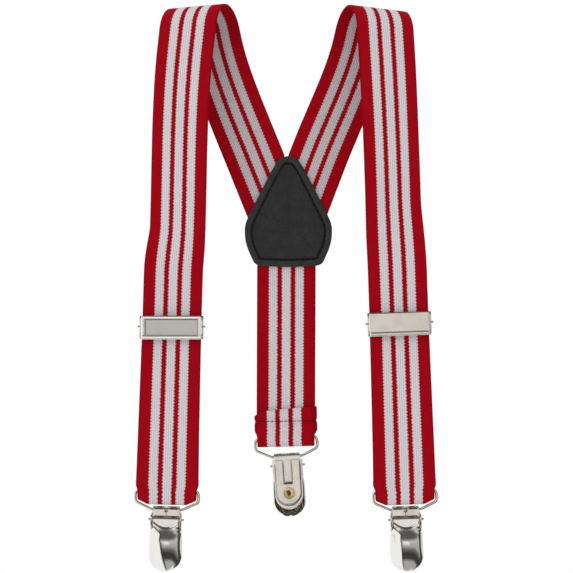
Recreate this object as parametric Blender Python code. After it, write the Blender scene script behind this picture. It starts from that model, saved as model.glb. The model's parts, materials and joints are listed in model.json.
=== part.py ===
"""Y-back clip-on suspenders: striped webbing, leather patch, three clips and two sliding adjusters.

The set hangs from the two shoulder folds. +Z is up, +X is the wearer's side at the right of a front
view, -Y is the front. The origin is midway between the shoulder folds, on the folds' axis.
Every length below is in millimetres; meshes are written in metres.
"""
from collections import namedtuple
from math import atan2, cos, pi, radians, sin, sqrt, tan

import bmesh
import bpy
from mathutils import Matrix, Vector

MM = 0.001
GAP = 0.3                       # clearance between neighbouring pieces

# webbing
HALF = 12.25                    # half of the webbing's width
CLIP_HALF = 12.95               # half of it at the front clips, where it lies slack and spreads
BEND_HALF = 12.25               # half of it where it passes between the bail's sides
REAR_HALF = 12.45               # half of the rear strap
HEM_HALF = 13.3                 # half of its sewn hem
THICK = 1.2
LAYER_Y = 9.0                   # front layer at -LAYER_Y, back layer at +LAYER_Y

# shoulder fold: the strap is wound obliquely over an imaginary horizontal cylinder
FOLD_R = 9.0
FLAT_BELOW_FOLD = 8.0           # flat stretch in front, still square to the fold's axis
FLAT_BEHIND_FOLD = 3.0

# lay of each shoulder strap, both given as for the left one; the right one is mirrored
Lay = namedtuple("Lay", [
    "fold_x", "fold_z",         # centre of the fold's axis
    "turn",                     # the axis is turned in plan: its outer end lies further back
    "rise",                     # and rises towards the centre
    "lean",                     # the strap crosses the axis at this angle
    "back_x", "back_lean",      # centre and lean of the flat stretch behind, at BACK_FLAT_Z
    "knot_x", "knot_z",         # foot of the twisted stretch in front
    "knot_slope",               # sideways step per unit of height there
    "twist",                    # turn of the strap about its length over the twisted stretch
    "top_x", "bottom_x",        # ends of the straight stretch, at RUN_TOP_Z and RUN_BOTTOM_Z
    "adjuster_z"])
LAYS = {
    "left": Lay(fold_x=-38.0, fold_z=0.4, turn=radians(15.0), rise=radians(2.5), lean=radians(9.4),
                back_x=-12.5, back_lean=radians(22.0), knot_x=-44.5, knot_z=-82.0, knot_slope=-0.03,
                twist=radians(17.0), top_x=-46.3, bottom_x=-49.0, adjuster_z=-124.5),
    "right": Lay(fold_x=-39.4, fold_z=-0.4, turn=radians(14.0), rise=radians(4.5), lean=radians(8.3),
                 back_x=-13.6, back_lean=radians(20.8), knot_x=-44.8, knot_z=-70.0, knot_slope=-0.03,
                 twist=radians(17.0), top_x=-46.6, bottom_x=-49.7, adjuster_z=-123.0)}
BACK_FLAT_Z = -54.0
RUN_TOP_Z = -102.0
RUN_BOTTOM_Z = -192.1           # where the strap meets the bail's bar
UNTWIST_ABOVE = 1.5             # the strap is flat again this far above the straight stretch
REAR_LAYER = 3.4                # depth of the doubled layer behind the front layer, at the bail
BEND_TOP = 4.0                  # the bend round the bail's bar ends this far above it
HEM_SHIFT = -0.2                # the rear hem is sewn this far off the strap's centre

# back junction
CENTRE_X = 0.6                  # centre of the rear strap
PATCH_X = 1.4                   # centre of the patch
JOIN_Z = -88.2                  # lower ends of the two shoulder straps, under the patch
PATCH_THICK = 1.4
PATCH_OUTLINE = [(0.0, -52.2), (2.4, -52.7), (4.0, -53.8), (6.9, -58.1), (13.1, -70.1), (16.2, -76.2),
                 (18.2, -81.0), (18.5, -85.0), (17.9, -89.4), (16.1, -94.2), (13.5, -98.2),
                 (6.6, -99.0), (0.0, -99.2)]

# rear strap
REAR_BAR = Vector((0.3, -171.5))       # bar of the rear bail (x, z)
REAR_LOOP_R = 1.6                      # depth radius of the loop round the bar
REAR_LOOP_DROP = 3.4                   # and how far it hangs below the bar
REAR_STRAIGHT_END = 2.5                # the strap's straight stretch ends this far above the bar
REAR_TAIL = 12.0                       # length of the sewn hem
REAR_ROLL = radians(3.4)               # the rear clip hangs slightly askew
HEM_ROLL = radians(1.5)                # and the hem less so

# bail
WIRE_R = 0.6
BAR_UP = 8.1                    # bar above the clip's hem
BAIL_HALF = 13.2
BAIL_CORNER = 2.2
BAIL_SIDE = 1.4                 # straight side between the two bends
BAIL_LEG = -63                  # the leg below it slopes in at this angle, in degrees

# clip
HEM_IN = 0.9
HEM_OUT = 1.5
PIN_Y = -4.0
PIN_Z = 1.3
PIN_R = 0.5
BARREL_IN = 0.8
BARREL_MID = 1.05
PIN_HALF = 7.4
LEVER_SHEET = 0.5
LEVER_TIP = -25.4
LEVER_HALF = 6.6
LEVER_NECK = 5.15               # half-width of the lever between the ears
LEVER_CROWN = 5.3               # greatest height of its dome
DOME_FALLS_FROM = -13.0         # the dome falls towards the tip below here
DOME_NARROWS_FROM = -19.0
BASE_TIP = -22.3
BASE_HALF = 6.1
BASE_LOW_HALF = 5.9             # half-width of the plate where its rounded end begins
EAR_IN = 5.8
EAR_OUT = 6.4
BEAD_HIGH = 0.5
BEAD_HALF = 4.8
BEAD_Y = -15.1                  # centre of the bead's bowl
TONGUE_HALF = 2.2
TONGUE_Y = -11.6
EYELET_Y = -15.4
EYELET_IN = 0.95
EYELET_TUBE = 1.55
EYELET_HOLE = 1.9               # hole for the eyelet in the plate and the pad
PAD_HALF = 4.6
PAD_LONG = 8.4
PAD_ABOVE = 4.6                 # the pad's upper end above the eyelet
PAD_TEETH = 7

# adjuster
WALL_IN = 12.7
WALL_OUT = 13.15
COVER_HALF = 12.3
FRAME_HALF_Y = 4.8
WALL_FRONT = 2.7                # front edge of the frame's side walls
ADJ_PIN_Y = 0.4
ADJ_PIN_D = 1.9
ADJ_PIN_R = 0.45
ADJ_PIN_HALF = 14.0
ADJ_BORE_R = 0.75
COVER_FRONT = 3.35
COVER_BACK = 2.75
COVER_HALF_Y = 4.6
COVER_TOOTH_D = 1.1             # back of the toothed lower edge
COVER_TEETH = 8
BAR_INNER_Y = 2.6
BAR_FRONT_D = -2.4
BAR_BACK_D = -3.1

RED = (0.32, 0.006, 0.015, 1.0)
BLACK = (0.030, 0.032, 0.034, 1.0)
NICKEL = (0.66, 0.63, 0.58, 1.0)
BRASS = (0.72, 0.58, 0.30, 1.0)
PLASTIC = (0.75, 0.75, 0.73, 1.0)

for old in list(bpy.data.objects):
    bpy.data.objects.remove(old, do_unlink=True)


# ---------------------------------------------------------------- helpers
def smooth(x):
    x = min(max(x, 0.0), 1.0)
    return x * x * (3.0 - 2.0 * x)


def material(name, colour, roughness, metallic=0.0):
    made = bpy.data.materials.new(name)
    made.use_nodes = True
    shader = made.node_tree.nodes["Principled BSDF"]
    shader.inputs["Base Color"].default_value = colour
    shader.inputs["Roughness"].default_value = roughness
    shader.inputs["Metallic"].default_value = metallic
    return made


FINISHES = {
    "webbing": (RED, 0.8, 0.0),
    "leather": (BLACK, 0.5, 0.0),
    "nickel": (NICKEL, 0.22, 1.0),
    "brass": (BRASS, 0.25, 1.0),
    "plastic": (PLASTIC, 0.45, 0.0),
}


def add_object(name, bm, finish, parent=None):
    """Object from a bmesh in millimetres; a child's mesh is stated in its parent empty's frame."""
    bmesh.ops.recalc_face_normals(bm, faces=bm.faces)
    bmesh.ops.scale(bm, vec=(MM, MM, MM), verts=bm.verts)
    mesh = bpy.data.meshes.new(name)
    bm.to_mesh(mesh)
    bm.free()
    mesh.shade_smooth()
    mesh.set_sharp_from_angle(angle=radians(35.0))
    made = bpy.data.objects.new(name, mesh)
    bpy.context.scene.collection.objects.link(made)
    colour, roughness, metallic = FINISHES[finish]
    mesh.materials.append(material(name, colour, roughness, metallic))
    if parent is not None:
        made.parent = parent
    return made


def add_empty(name, frame, parent=None):
    """Empty whose local frame is FRAME, a matrix in millimetres."""
    made = bpy.data.objects.new(name, None)
    bpy.context.scene.collection.objects.link(made)
    made.empty_display_size = 0.004
    placed = frame.copy()
    placed.translation = frame.translation * MM
    if parent is not None:
        made.parent = parent
    made.matrix_local = placed
    return made


def boolean(target, tool, operation):
    """Cut TOOL from TARGET or join it on; TOOL stays as a hidden guide."""
    tool.hide_render = True
    tool.display_type = "WIRE"
    step = target.modifiers.new(operation.lower(), "BOOLEAN")
    step.operation = operation
    step.solver = "EXACT"
    step.object = tool


def prism(outline, low, high):
    """Closed prism: OUTLINE is a list of (x, y), extruded from z LOW to z HIGH."""
    bm = bmesh.new()
    bottom = [bm.verts.new((x, y, low)) for x, y in outline]
    top = [bm.verts.new((x, y, high)) for x, y in outline]
    bm.faces.new(bottom[::-1])
    bm.faces.new(top)
    count = len(outline)
    for i in range(count):
        j = (i + 1) % count
        bm.faces.new((bottom[i], bottom[j], top[j], top[i]))
    return bm


def swap_axes(bm, matrix):
    bmesh.ops.transform(bm, matrix=matrix, verts=bm.verts)
    return bm


# a profile drawn in (y, z) and extruded along x
PROFILE_TO_X = Matrix(((0, 0, 1, 0), (1, 0, 0, 0), (0, 1, 0, 0), (0, 0, 0, 1)))


def box(low, high):
    outline = [(low[0], low[1]), (high[0], low[1]), (high[0], high[1]), (low[0], high[1])]
    return prism(outline, low[2], high[2])


def rod(start, end, radius, sides=16):
    """Closed cylinder between two points."""
    return tube([Vector(start), Vector(end)], radius, sides)


def tube(points, radius, sides=10):
    """Closed round tube along a line of points that lie in one plane."""
    bm = bmesh.new()
    count = len(points)
    last = count - 1
    directions = [(points[min(i + 1, last)] - points[max(i - 1, 0)]).normalized() for i in range(count)]
    flat = Vector((0, 0, 0))
    for i in range(1, count - 1):
        flat += (points[i] - points[i - 1]).cross(points[i + 1] - points[i])
    if flat.length < 1e-6:
        flat = directions[0].orthogonal()
    flat.normalize()
    rings = []
    for point, along in zip(points, directions):
        side = flat.cross(along).normalized()
        ring = []
        for k in range(sides):
            turn = 2.0 * pi * (k + 0.5) / sides
            ring.append(bm.verts.new(point + side * (radius * cos(turn)) + flat * (radius * sin(turn))))
        rings.append(ring)
    for a, b in zip(rings, rings[1:]):
        for k in range(sides):
            j = (k + 1) % sides
            bm.faces.new((a[k], a[j], b[j], b[k]))
    bm.faces.new(rings[0])
    bm.faces.new(rings[-1])
    return bm


def turned(profile, centre, sides=24):
    """Ring turned about an axis along z through CENTRE; PROFILE is a closed list of (radius, z)."""
    bm = bmesh.new()
    rings = []
    for k in range(sides):
        turn = 2.0 * pi * k / sides
        rings.append([bm.verts.new((centre[0] + r * cos(turn), centre[1] + r * sin(turn), z))
                      for r, z in profile])
    for k in range(sides):
        a, b = rings[k], rings[(k + 1) % sides]
        for i in range(len(profile)):
            j = (i + 1) % len(profile)
            bm.faces.new((a[i], a[j], b[j], b[i]))
    return bm


def strip(rows, thickness=THICK):
    """Closed flat band; each row is (edge point, other edge point, normal)."""
    bm = bmesh.new()
    rings = []
    for a, b, normal in rows:
        lift = normal.normalized() * (0.5 * thickness)
        rings.append([bm.verts.new(p) for p in (a + lift, b + lift, b - lift, a - lift)])
    for first, second in zip(rings, rings[1:]):
        for k in range(4):
            j = (k + 1) % 4
            bm.faces.new((first[k], first[j], second[j], second[k]))
    bm.faces.new(rings[0])
    bm.faces.new(rings[-1])
    return bm


def shell(grid, normals, thickness):
    """Closed sheet from a grid of mid-surface points."""
    bm = bmesh.new()
    outer, inner = [], []
    for points, ways in zip(grid, normals):
        outer.append([bm.verts.new(p + n * (0.5 * thickness)) for p, n in zip(points, ways)])
        inner.append([bm.verts.new(p - n * (0.5 * thickness)) for p, n in zip(points, ways)])
    rows = len(grid)
    cols = len(grid[0])
    for i in range(rows - 1):
        for j in range(cols - 1):
            bm.faces.new((outer[i][j], outer[i][j + 1], outer[i + 1][j + 1], outer[i + 1][j]))
            bm.faces.new((inner[i][j], inner[i + 1][j], inner[i + 1][j + 1], inner[i][j + 1]))
    rim = [(i, 0) for i in range(rows)] + [(rows - 1, j) for j in range(1, cols)]
    rim += [(i, cols - 1) for i in range(rows - 2, -1, -1)] + [(0, j) for j in range(cols - 2, 0, -1)]
    for (i, j), (k, m) in zip(rim, rim[1:] + rim[:1]):
        bm.faces.new((outer[i][j], outer[k][m], inner[k][m], inner[i][j]))
    return bm


def grid_normals(grid):
    rows = len(grid)
    cols = len(grid[0])
    normals = []
    for i in range(rows):
        line = []
        for j in range(cols):
            down = grid[min(i + 1, rows - 1)][j] - grid[max(i - 1, 0)][j]
            across = grid[i][min(j + 1, cols - 1)] - grid[i][max(j - 1, 0)]
            line.append(across.cross(down).normalized())
        normals.append(line)
    return normals


def mirrored(point, side):
    """SIDE -1 keeps the left-hand point, +1 mirrors it to the right."""
    return Vector((-side * point.x, point.y, point.z))


def rounded(outline, steps=3):
    """Smooth closed outline through the given points (Catmull-Rom)."""
    count = len(outline)
    result = []
    for i in range(count):
        p0, p1, p2, p3 = (Vector(outline[(i + k - 1) % count]) for k in range(4))
        for s in range(steps):
            t = s / steps
            result.append(0.5 * (2 * p1 + (p2 - p0) * t + (2 * p0 - 5 * p1 + 4 * p2 - p3) * t * t
                                 + (3 * p1 - p0 - 3 * p2 + p3) * t ** 3))
    return result


def arc(centre, radius, start, end, steps):
    """Points on an arc, angles in degrees."""
    turns = [radians(start + (end - start) * k / steps) for k in range(steps + 1)]
    return [(centre[0] + radius * cos(a), centre[1] + radius * sin(a)) for a in turns]


# ---------------------------------------------------------------- webbing
FOLD_LENGTH = pi * FOLD_R
FRONT_Y = Vector((0, -1, 0))


def fold_axes(lay):
    """The fold's axis (towards the centre), its up direction and its front direction."""
    axis = Vector((cos(lay.turn) * cos(lay.rise), -sin(lay.turn) * cos(lay.rise), sin(lay.rise)))
    up = (Vector((0, 0, 1)) - axis * axis.z).normalized()
    return axis, up, axis.cross(up)


def fold_point(lay, q, v):
    """Point and outward normal; q across the strap, v along it from the fold's front tangent."""
    axis, up, front = fold_axes(lay)
    base = Vector((lay.fold_x, 0, lay.fold_z)) + axis * (v * tan(lay.lean) + q / cos(lay.lean))
    if v <= 0.0:
        return base + up * v + front * FOLD_R, front
    if v >= FOLD_LENGTH:
        return base + up * (FOLD_LENGTH - v) - front * FOLD_R, -front
    turn = v / FOLD_R
    outward = front * cos(turn) + up * sin(turn)
    return base + outward * FOLD_R, outward


def hermite(start, start_way, end, end_way, t):
    """Cubic from START to END, leaving and arriving along the given unit directions."""
    span = (end - start).length
    return (start * (2 * t ** 3 - 3 * t ** 2 + 1) + start_way * (span * (t ** 3 - 2 * t ** 2 + t))
            + end * (3 * t ** 2 - 2 * t ** 3) + end_way * (span * (t ** 3 - t ** 2)))


def run_down(lay):
    return Vector((lay.bottom_x - lay.top_x, 0, RUN_BOTTOM_Z - RUN_TOP_Z)).normalized()


def run_point(lay, z):
    """Centre of the straight stretch in front at height z."""
    share = (z - RUN_TOP_Z) / (RUN_BOTTOM_Z - RUN_TOP_Z)
    return Vector((lay.top_x + share * (lay.bottom_x - lay.top_x), -LAYER_Y, z))


def square_to(level, down):
    """LEVEL scaled so that it spans one unit of width across a strap running DOWN."""
    return level / (level - down * level.dot(down)).length


def front_rows(lay, low_steps, high_steps):
    """Rows in front, from the top of the straight stretch up to the flat below the fold."""
    axis, up, _ = fold_axes(lay)
    knot = Vector((lay.knot_x, -LAYER_Y, lay.knot_z))
    knot_way = Vector((lay.knot_slope, 0, -1)).normalized()
    top = run_point(lay, RUN_TOP_Z)
    below, _ = fold_point(lay, 0.0, -FLAT_BELOW_FOLD)
    below_way = (-up - axis * tan(lay.lean)).normalized()
    centres = [hermite(knot, knot_way, top, run_down(lay), 1 - k / low_steps) for k in range(low_steps)]
    centres += [hermite(below, below_way, knot, knot_way, 1 - k / high_steps) for k in range(high_steps)]
    rows = []
    for i, centre in enumerate(centres):
        before = centres[max(i - 1, 0)]
        after = centres[i + 1] if i + 1 < len(centres) else below
        down = (before - after).normalized()
        side = Vector((-down.z, 0, down.x)).normalized()
        flat_z = RUN_TOP_Z + UNTWIST_ABOVE
        turn = lay.twist * smooth((centre.z - flat_z) / (lay.knot_z - flat_z))
        level = side * cos(turn) + FRONT_Y * sin(turn)
        level = level.lerp(axis, smooth(((i - low_steps) / high_steps - 0.35) / 0.65))
        level = square_to(level, down)
        rows.append((centre - level * HALF, centre + level * HALF, down.cross(level).normalized()))
    return rows


def fold_rows(lay, steps):
    rows = []
    length = FOLD_LENGTH + FLAT_BELOW_FOLD + FLAT_BEHIND_FOLD
    for k in range(steps + 1):
        v = -FLAT_BELOW_FOLD + length * k / steps
        rows.append((fold_point(lay, -HALF, v)[0], fold_point(lay, HALF, v)[0], fold_point(lay, 0, v)[1]))
    return rows


def back_rows(lay, steps):
    """Rows behind: the strap turns flat, then its inner edge follows the centre plane."""
    axis, up, _ = fold_axes(lay)
    start, _ = fold_point(lay, 0.0, FOLD_LENGTH + FLAT_BEHIND_FOLD)
    start_way = (-up + axis * tan(lay.lean)).normalized()
    end = Vector((lay.back_x, LAYER_Y, BACK_FLAT_Z))
    end_way = Vector((sin(lay.back_lean), 0, -cos(lay.back_lean)))
    side = Vector((cos(lay.back_lean), 0, sin(lay.back_lean)))
    rows = []
    before = start
    for k in range(1, steps + 1):
        centre = hermite(start, start_way, end, end_way, k / steps)
        down = (centre - before).normalized()
        before = centre
        level = square_to(axis.lerp(side, smooth(k / steps)), down)
        rows.append((centre - level * HALF, centre + level * HALF, level.cross(down).normalized()))
    outer, inner = end - side * HALF, end + side * HALF
    rows[-1] = (outer, inner, -FRONT_Y)
    reach = (-GAP - inner.x) / end_way.x
    mid_outer, meet = outer + end_way * reach, inner + end_way * reach
    bottom_outer = outer + end_way * ((outer.z - JOIN_Z) / -end_way.z)
    bottom_inner = Vector((-GAP, LAYER_Y, JOIN_Z))
    rows.append((mid_outer, meet, -FRONT_Y))
    for k in range(1, 4):
        rows.append((mid_outer.lerp(bottom_outer, k / 3), meet.lerp(bottom_inner, k / 3), -FRONT_Y))
    return rows


def strap_rows(lay):
    """Rows of a shoulder strap from the adjuster up, over the shoulder and down to the patch."""
    end = run_point(lay, lay.adjuster_z)
    down = run_down(lay)
    side = Vector((-down.z, 0, down.x))
    first = [(end - side * HALF, end + side * HALF, FRONT_Y)]
    return first + front_rows(lay, 8, 18) + fold_rows(lay, 22) + back_rows(lay, 8)


def flip_rows(rows, side):
    return [(mirrored(a, side), mirrored(b, side), mirrored(n, side)) for a, b, n in rows]


def bend_floor(x):
    """Height of the webbing's lowest mid-surface below the bail's bar, across the width."""
    return -5.55 + max(0.0, abs(x) - 8.0) * tan(radians(25.0))


def bend_half(y):
    """Half-width at height Y above the bar: the webbing narrows to pass through the bail."""
    return CLIP_HALF - (CLIP_HALF - BEND_HALF) * smooth((2.2 - y) / 2.6)


def loop_grid(top_front, top_rear, depth_front, depth_rear, floor, columns):
    """Mid-surface of webbing round a bar at (0, 0): rows from the front layer to the rear layer."""
    middle = 0.5 * (depth_front + depth_rear)
    radius = 0.5 * (depth_front - depth_rear)
    grid = []
    steps = 10
    for k in range(3):
        grid.append(("straight", top_front * (1 - k / 3), depth_front))
    for k in range(steps + 1):
        grid.append(("turn", pi * k / steps, 0.0))
    for k in range(1, 4):
        grid.append(("straight", top_rear * k / 3, depth_rear))
    rows = []
    for kind, value, depth in grid:
        line = []
        for j in range(columns + 1):
            t = -1.0 + 2.0 * j / columns
            if kind == "straight":
                line.append(Vector((t * bend_half(value), value, depth)))
            else:
                x = t * BEND_HALF
                line.append(Vector((x, floor(x) * sin(value), middle + radius * cos(value))))
        rows.append(line)
    return rows


# ---------------------------------------------------------------- frames of the hanging chains
def chain_frame(x, y, z, roll, facing):
    """Frame with local y up the chain and local z out of the clip's domed side.

    FACING -1 turns the domed side to the front, +1 to the back; ROLL turns the chain
    anticlockwise in a front view.
    """
    up = Vector((-sin(roll), 0, cos(roll)))
    out = Vector((0, facing, 0))
    side = up.cross(out)
    frame = Matrix.Identity(4)
    for i in range(3):
        frame[i][0], frame[i][1], frame[i][2] = side[i], up[i], out[i]
    frame.translation = Vector((x, y, z))
    return frame


# ---------------------------------------------------------------- clip pieces (local frame, wire at y = 0)
def bail_points():
    """Half of the wire, from the bar's middle to its end inside the hem, then mirrored."""
    corner_x = BAIL_HALF - BAIL_CORNER
    corner_y = BAR_UP - BAIL_CORNER
    corner = arc((corner_x, corner_y), BAIL_CORNER, 90, 0, 4)
    lower = arc((corner_x, corner_y - BAIL_SIDE), BAIL_CORNER, 0, BAIL_LEG, 3)
    half = [(0.0, BAR_UP)] + corner + lower + [(7.2, 0.35), (6.5, 0.08), (5.6, 0.0), (1.2, 0.0)]
    left = [Vector((-x, y, 0)) for x, y in half[::-1]]
    return left[:-1] + [Vector((x, y, 0)) for x, y in half]


def hem_profile():
    """Sheet rolled over the wire, in (y, z): up the back, over the top and down the front."""
    outer = [(-4.0, -HEM_OUT)] + arc((0, 0), HEM_OUT, -90, 90, 10) + [(-2.4, HEM_OUT)]
    inner = [(-2.4, HEM_IN)] + arc((0, 0), HEM_IN, 90, -90, 8) + [(-4.0, -HEM_IN)]
    return outer + inner


def base_outline():
    shoulder = BASE_TIP + 7.0
    tip = arc((0, BASE_TIP + BASE_LOW_HALF), BASE_LOW_HALF, 0, -180, 12)
    right = [(BASE_HALF, -1.0), (BASE_LOW_HALF, shoulder)]
    return right + tip + [(-BASE_LOW_HALF, shoulder), (-BASE_HALF, -1.0)]


def bead_outline():
    """Raised bead on the back: two legs and a bowl round the eyelet."""
    top = -1.3
    bowl = arc((0, BEAD_Y), BEAD_HALF, 0, -180, 12)
    tongue = [(-TONGUE_HALF, top), (-TONGUE_HALF, TONGUE_Y), (TONGUE_HALF, TONGUE_Y), (TONGUE_HALF, top)]
    return [(BEAD_HALF, top)] + bowl + [(-BEAD_HALF, top)] + tongue


def ear_outline():
    """Side ear in (y, z), standing on the base sheet."""
    return [(-1.6, -1.2), (-1.9, 1.8), (-2.9, 2.5), (-5.2, 2.5), (-7.6, 1.5), (-9.6, -0.4), (-9.9, -1.2)]


def add_base(name, parent):
    base = add_object(name, prism(base_outline(), -HEM_OUT, -HEM_IN), "nickel", parent)
    hem = swap_axes(prism(hem_profile(), -5.5, 5.5), PROFILE_TO_X)
    boolean(base, add_object(name + "_hem_guide", hem, "nickel", parent), "UNION")
    for side in (-1, 1):
        low, high = sorted((side * EAR_IN, side * EAR_OUT))
        ear = swap_axes(prism(ear_outline(), low, high), PROFILE_TO_X)
        boolean(base, add_object(f"{name}_ear_guide_{side}", ear, "nickel", parent), "UNION")
    bead = prism(bead_outline(), -HEM_OUT - BEAD_HIGH, -HEM_OUT + 0.2)
    boolean(base, add_object(name + "_bead_guide", bead, "nickel", parent), "UNION")
    cuts = [box((-0.8, -0.9, 0.5), (0.8, 2.0, 3.0)), box((-0.15, -4.0, 0.5), (0.15, -0.5, 3.0))]
    for side in (-1, 1):
        low, high = sorted((side * 1.4, side * 4.9))
        cuts.append(box((low, 0.2, 0.4), (high, 0.75, 3.0)))
    cuts.append(rod((0, EYELET_Y, -4), (0, EYELET_Y, 1), EYELET_HOLE, 24))
    cuts.append(rod((-8, PIN_Y, PIN_Z), (8, PIN_Y, PIN_Z), BARREL_IN, 16))
    for k, cut in enumerate(cuts):
        boolean(base, add_object(f"{name}_cut_guide_{k}", cut, "nickel", parent), "DIFFERENCE")
    return base


def lever_profile():
    """Mid-line of the lever in (y, z, half-width, skirt drop), from round the pin to the tip."""
    points = []
    for k in range(9):
        turn = radians(-130.0 + 220.0 * k / 8)
        y = PIN_Y + BARREL_MID * cos(turn)
        points.append((y, PIN_Z + BARREL_MID * sin(turn), LEVER_NECK, 0.0))
    front = PIN_Z + BARREL_MID
    points.append((-5.4, front, LEVER_NECK, 0.0))
    points.append((-6.6, front, 5.2, 0.0))
    points.append((-7.6, 2.6, 5.6, 0.4))
    points.append((-8.8, 3.45, 6.1, 1.5))
    points.append((-10.2, 4.6, 6.4, 3.6))
    points.append((-11.6, LEVER_CROWN, 6.55, 4.85))
    steps = 9
    for k in range(1, steps + 1):
        y = DOME_FALLS_FROM + (LEVER_TIP - DOME_FALLS_FROM) * sin(radians(88.0 * k / steps))
        narrowed = max(0.0, (y - DOME_NARROWS_FROM) / (LEVER_TIP - DOME_NARROWS_FROM))
        half = LEVER_HALF * sqrt(max(0.02, 1.0 - narrowed * narrowed))
        fallen = (y - DOME_FALLS_FROM) / (LEVER_TIP - DOME_FALLS_FROM)
        height = LEVER_CROWN - 4.5 * fallen ** 2.2
        points.append((y, height, half, max(0.0, height - 0.4) * (half / LEVER_HALF) ** 0.7))
    return points


def lever_grid():
    columns = 12
    grid = []
    for y, z, half, drop in lever_profile():
        line = []
        for j in range(columns + 1):
            t = sin(radians(-90.0 + 180.0 * j / columns))
            line.append(Vector((t * half, y, z - drop * abs(t) ** 3.5)))
        grid.append(line)
    return grid


def add_lever(name, parent):
    grid = lever_grid()
    return add_object(name, shell(grid, grid_normals(grid), LEVER_SHEET), "nickel", parent)


def add_pad(name, parent):
    """Ribbed grip pad on the base's inner face, held by the eyelet."""
    low = -HEM_IN + GAP
    top = EYELET_Y + PAD_ABOVE
    profile = [(top, low)]
    pitch = PAD_LONG / PAD_TEETH
    for k in range(PAD_TEETH):
        start = top - k * pitch
        profile.append((start - 0.15, low + 0.8))
        profile.append((start - 0.5 * pitch, low + 1.15))
        profile.append((start - pitch + 0.15, low + 0.8))
    profile.append((top - PAD_LONG, low))
    pad = add_object(name, swap_axes(prism(profile, -PAD_HALF, PAD_HALF), PROFILE_TO_X), "plastic", parent)
    hole = rod((0, EYELET_Y, -3), (0, EYELET_Y, 3), EYELET_HOLE, 24)
    boolean(pad, add_object(name + "_hole_guide", hole, "plastic", parent), "DIFFERENCE")
    return pad


def add_eyelet(name, parent):
    """Hollow rivet with a rolled flange over the bead."""
    back = -HEM_OUT - BEAD_HIGH - GAP
    front = -HEM_IN + GAP + 0.95
    flange = [(EYELET_IN, back - 0.25), (1.5, back - 0.5), (2.4, back - 0.35), (2.5, back)]
    profile = [(EYELET_IN, front)] + flange + [(EYELET_TUBE, back), (EYELET_TUBE, front)]
    return add_object(name, turned(profile, (0, EYELET_Y)), "brass", parent)


def add_clip(label, bar_frame):
    """Bail, clip body and lever; each moving group hangs from an empty on its axis."""
    bail_empty = add_empty(f"bail_axis_{label}", bar_frame)
    down = Matrix.Translation(Vector((0, -BAR_UP, 0)))
    clip_empty = add_empty(f"clip_axis_{label}", down, bail_empty)
    to_pin = Matrix.Translation(Vector((0, PIN_Y, PIN_Z)))
    lever_empty = add_empty(f"lever_axis_{label}", to_pin, clip_empty)
    wire = tube([p - Vector((0, BAR_UP, 0)) for p in bail_points()], WIRE_R, 10)
    add_object(f"bail_{label}", wire, "nickel", bail_empty)
    add_base(f"base_plate_{label}", clip_empty)
    add_pad(f"grip_pad_{label}", clip_empty)
    add_eyelet(f"eyelet_{label}", clip_empty)
    pin = rod((-PIN_HALF, PIN_Y, PIN_Z), (PIN_HALF, PIN_Y, PIN_Z), PIN_R, 12)
    add_object(f"hinge_pin_{label}", pin, "nickel", clip_empty)
    lever = add_lever(f"lever_{label}", lever_empty)
    lever.data.transform(Matrix.Translation(Vector((0, -PIN_Y, -PIN_Z)) * MM))


# ---------------------------------------------------------------- adjuster pieces (y up the strap, z out)
def add_adjuster(label, frame):
    slider = add_empty(f"adjuster_axis_{label}", frame)
    hinge = add_empty(f"adjuster_pin_axis_{label}",
                      Matrix.Translation(Vector((0, ADJ_PIN_Y, ADJ_PIN_D))), slider)
    back = box((-WALL_OUT, -FRAME_HALF_Y, BAR_BACK_D), (WALL_OUT, FRAME_HALF_Y, BAR_FRONT_D))
    body = add_object(f"adjuster_frame_{label}", back, "nickel", slider)
    for side in (-1, 1):
        low, high = sorted((side * WALL_IN, side * WALL_OUT))
        outline = [(-FRAME_HALF_Y, BAR_BACK_D), (FRAME_HALF_Y, BAR_BACK_D),
                   (FRAME_HALF_Y, WALL_FRONT - 1.3), (FRAME_HALF_Y - 1.0, WALL_FRONT),
                   (-FRAME_HALF_Y + 1.0, WALL_FRONT), (-FRAME_HALF_Y, WALL_FRONT - 1.3)]
        wall = swap_axes(prism(outline, low, high), PROFILE_TO_X)
        boolean(body, add_object(f"adjuster_wall_guide_{label}_{side}", wall, "nickel", slider), "UNION")
    window = box((0.03 - WALL_IN, -BAR_INNER_Y, -6.0), (WALL_IN - 0.03, BAR_INNER_Y, -1.0))
    boolean(body, add_object(f"adjuster_window_guide_{label}", window, "nickel", slider), "DIFFERENCE")
    bore = rod((-15, ADJ_PIN_Y, ADJ_PIN_D), (15, ADJ_PIN_Y, ADJ_PIN_D), ADJ_BORE_R, 16)
    boolean(body, add_object(f"adjuster_bore_guide_{label}", bore, "nickel", slider), "DIFFERENCE")
    ends = [(side * ADJ_PIN_HALF, ADJ_PIN_Y, ADJ_PIN_D) for side in (-1, 1)]
    pin = rod(ends[0], ends[1], ADJ_PIN_R, 12)
    add_object(f"adjuster_pin_{label}", pin, "nickel", slider)
    add_cover(f"adjuster_cover_{label}", hinge)


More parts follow.
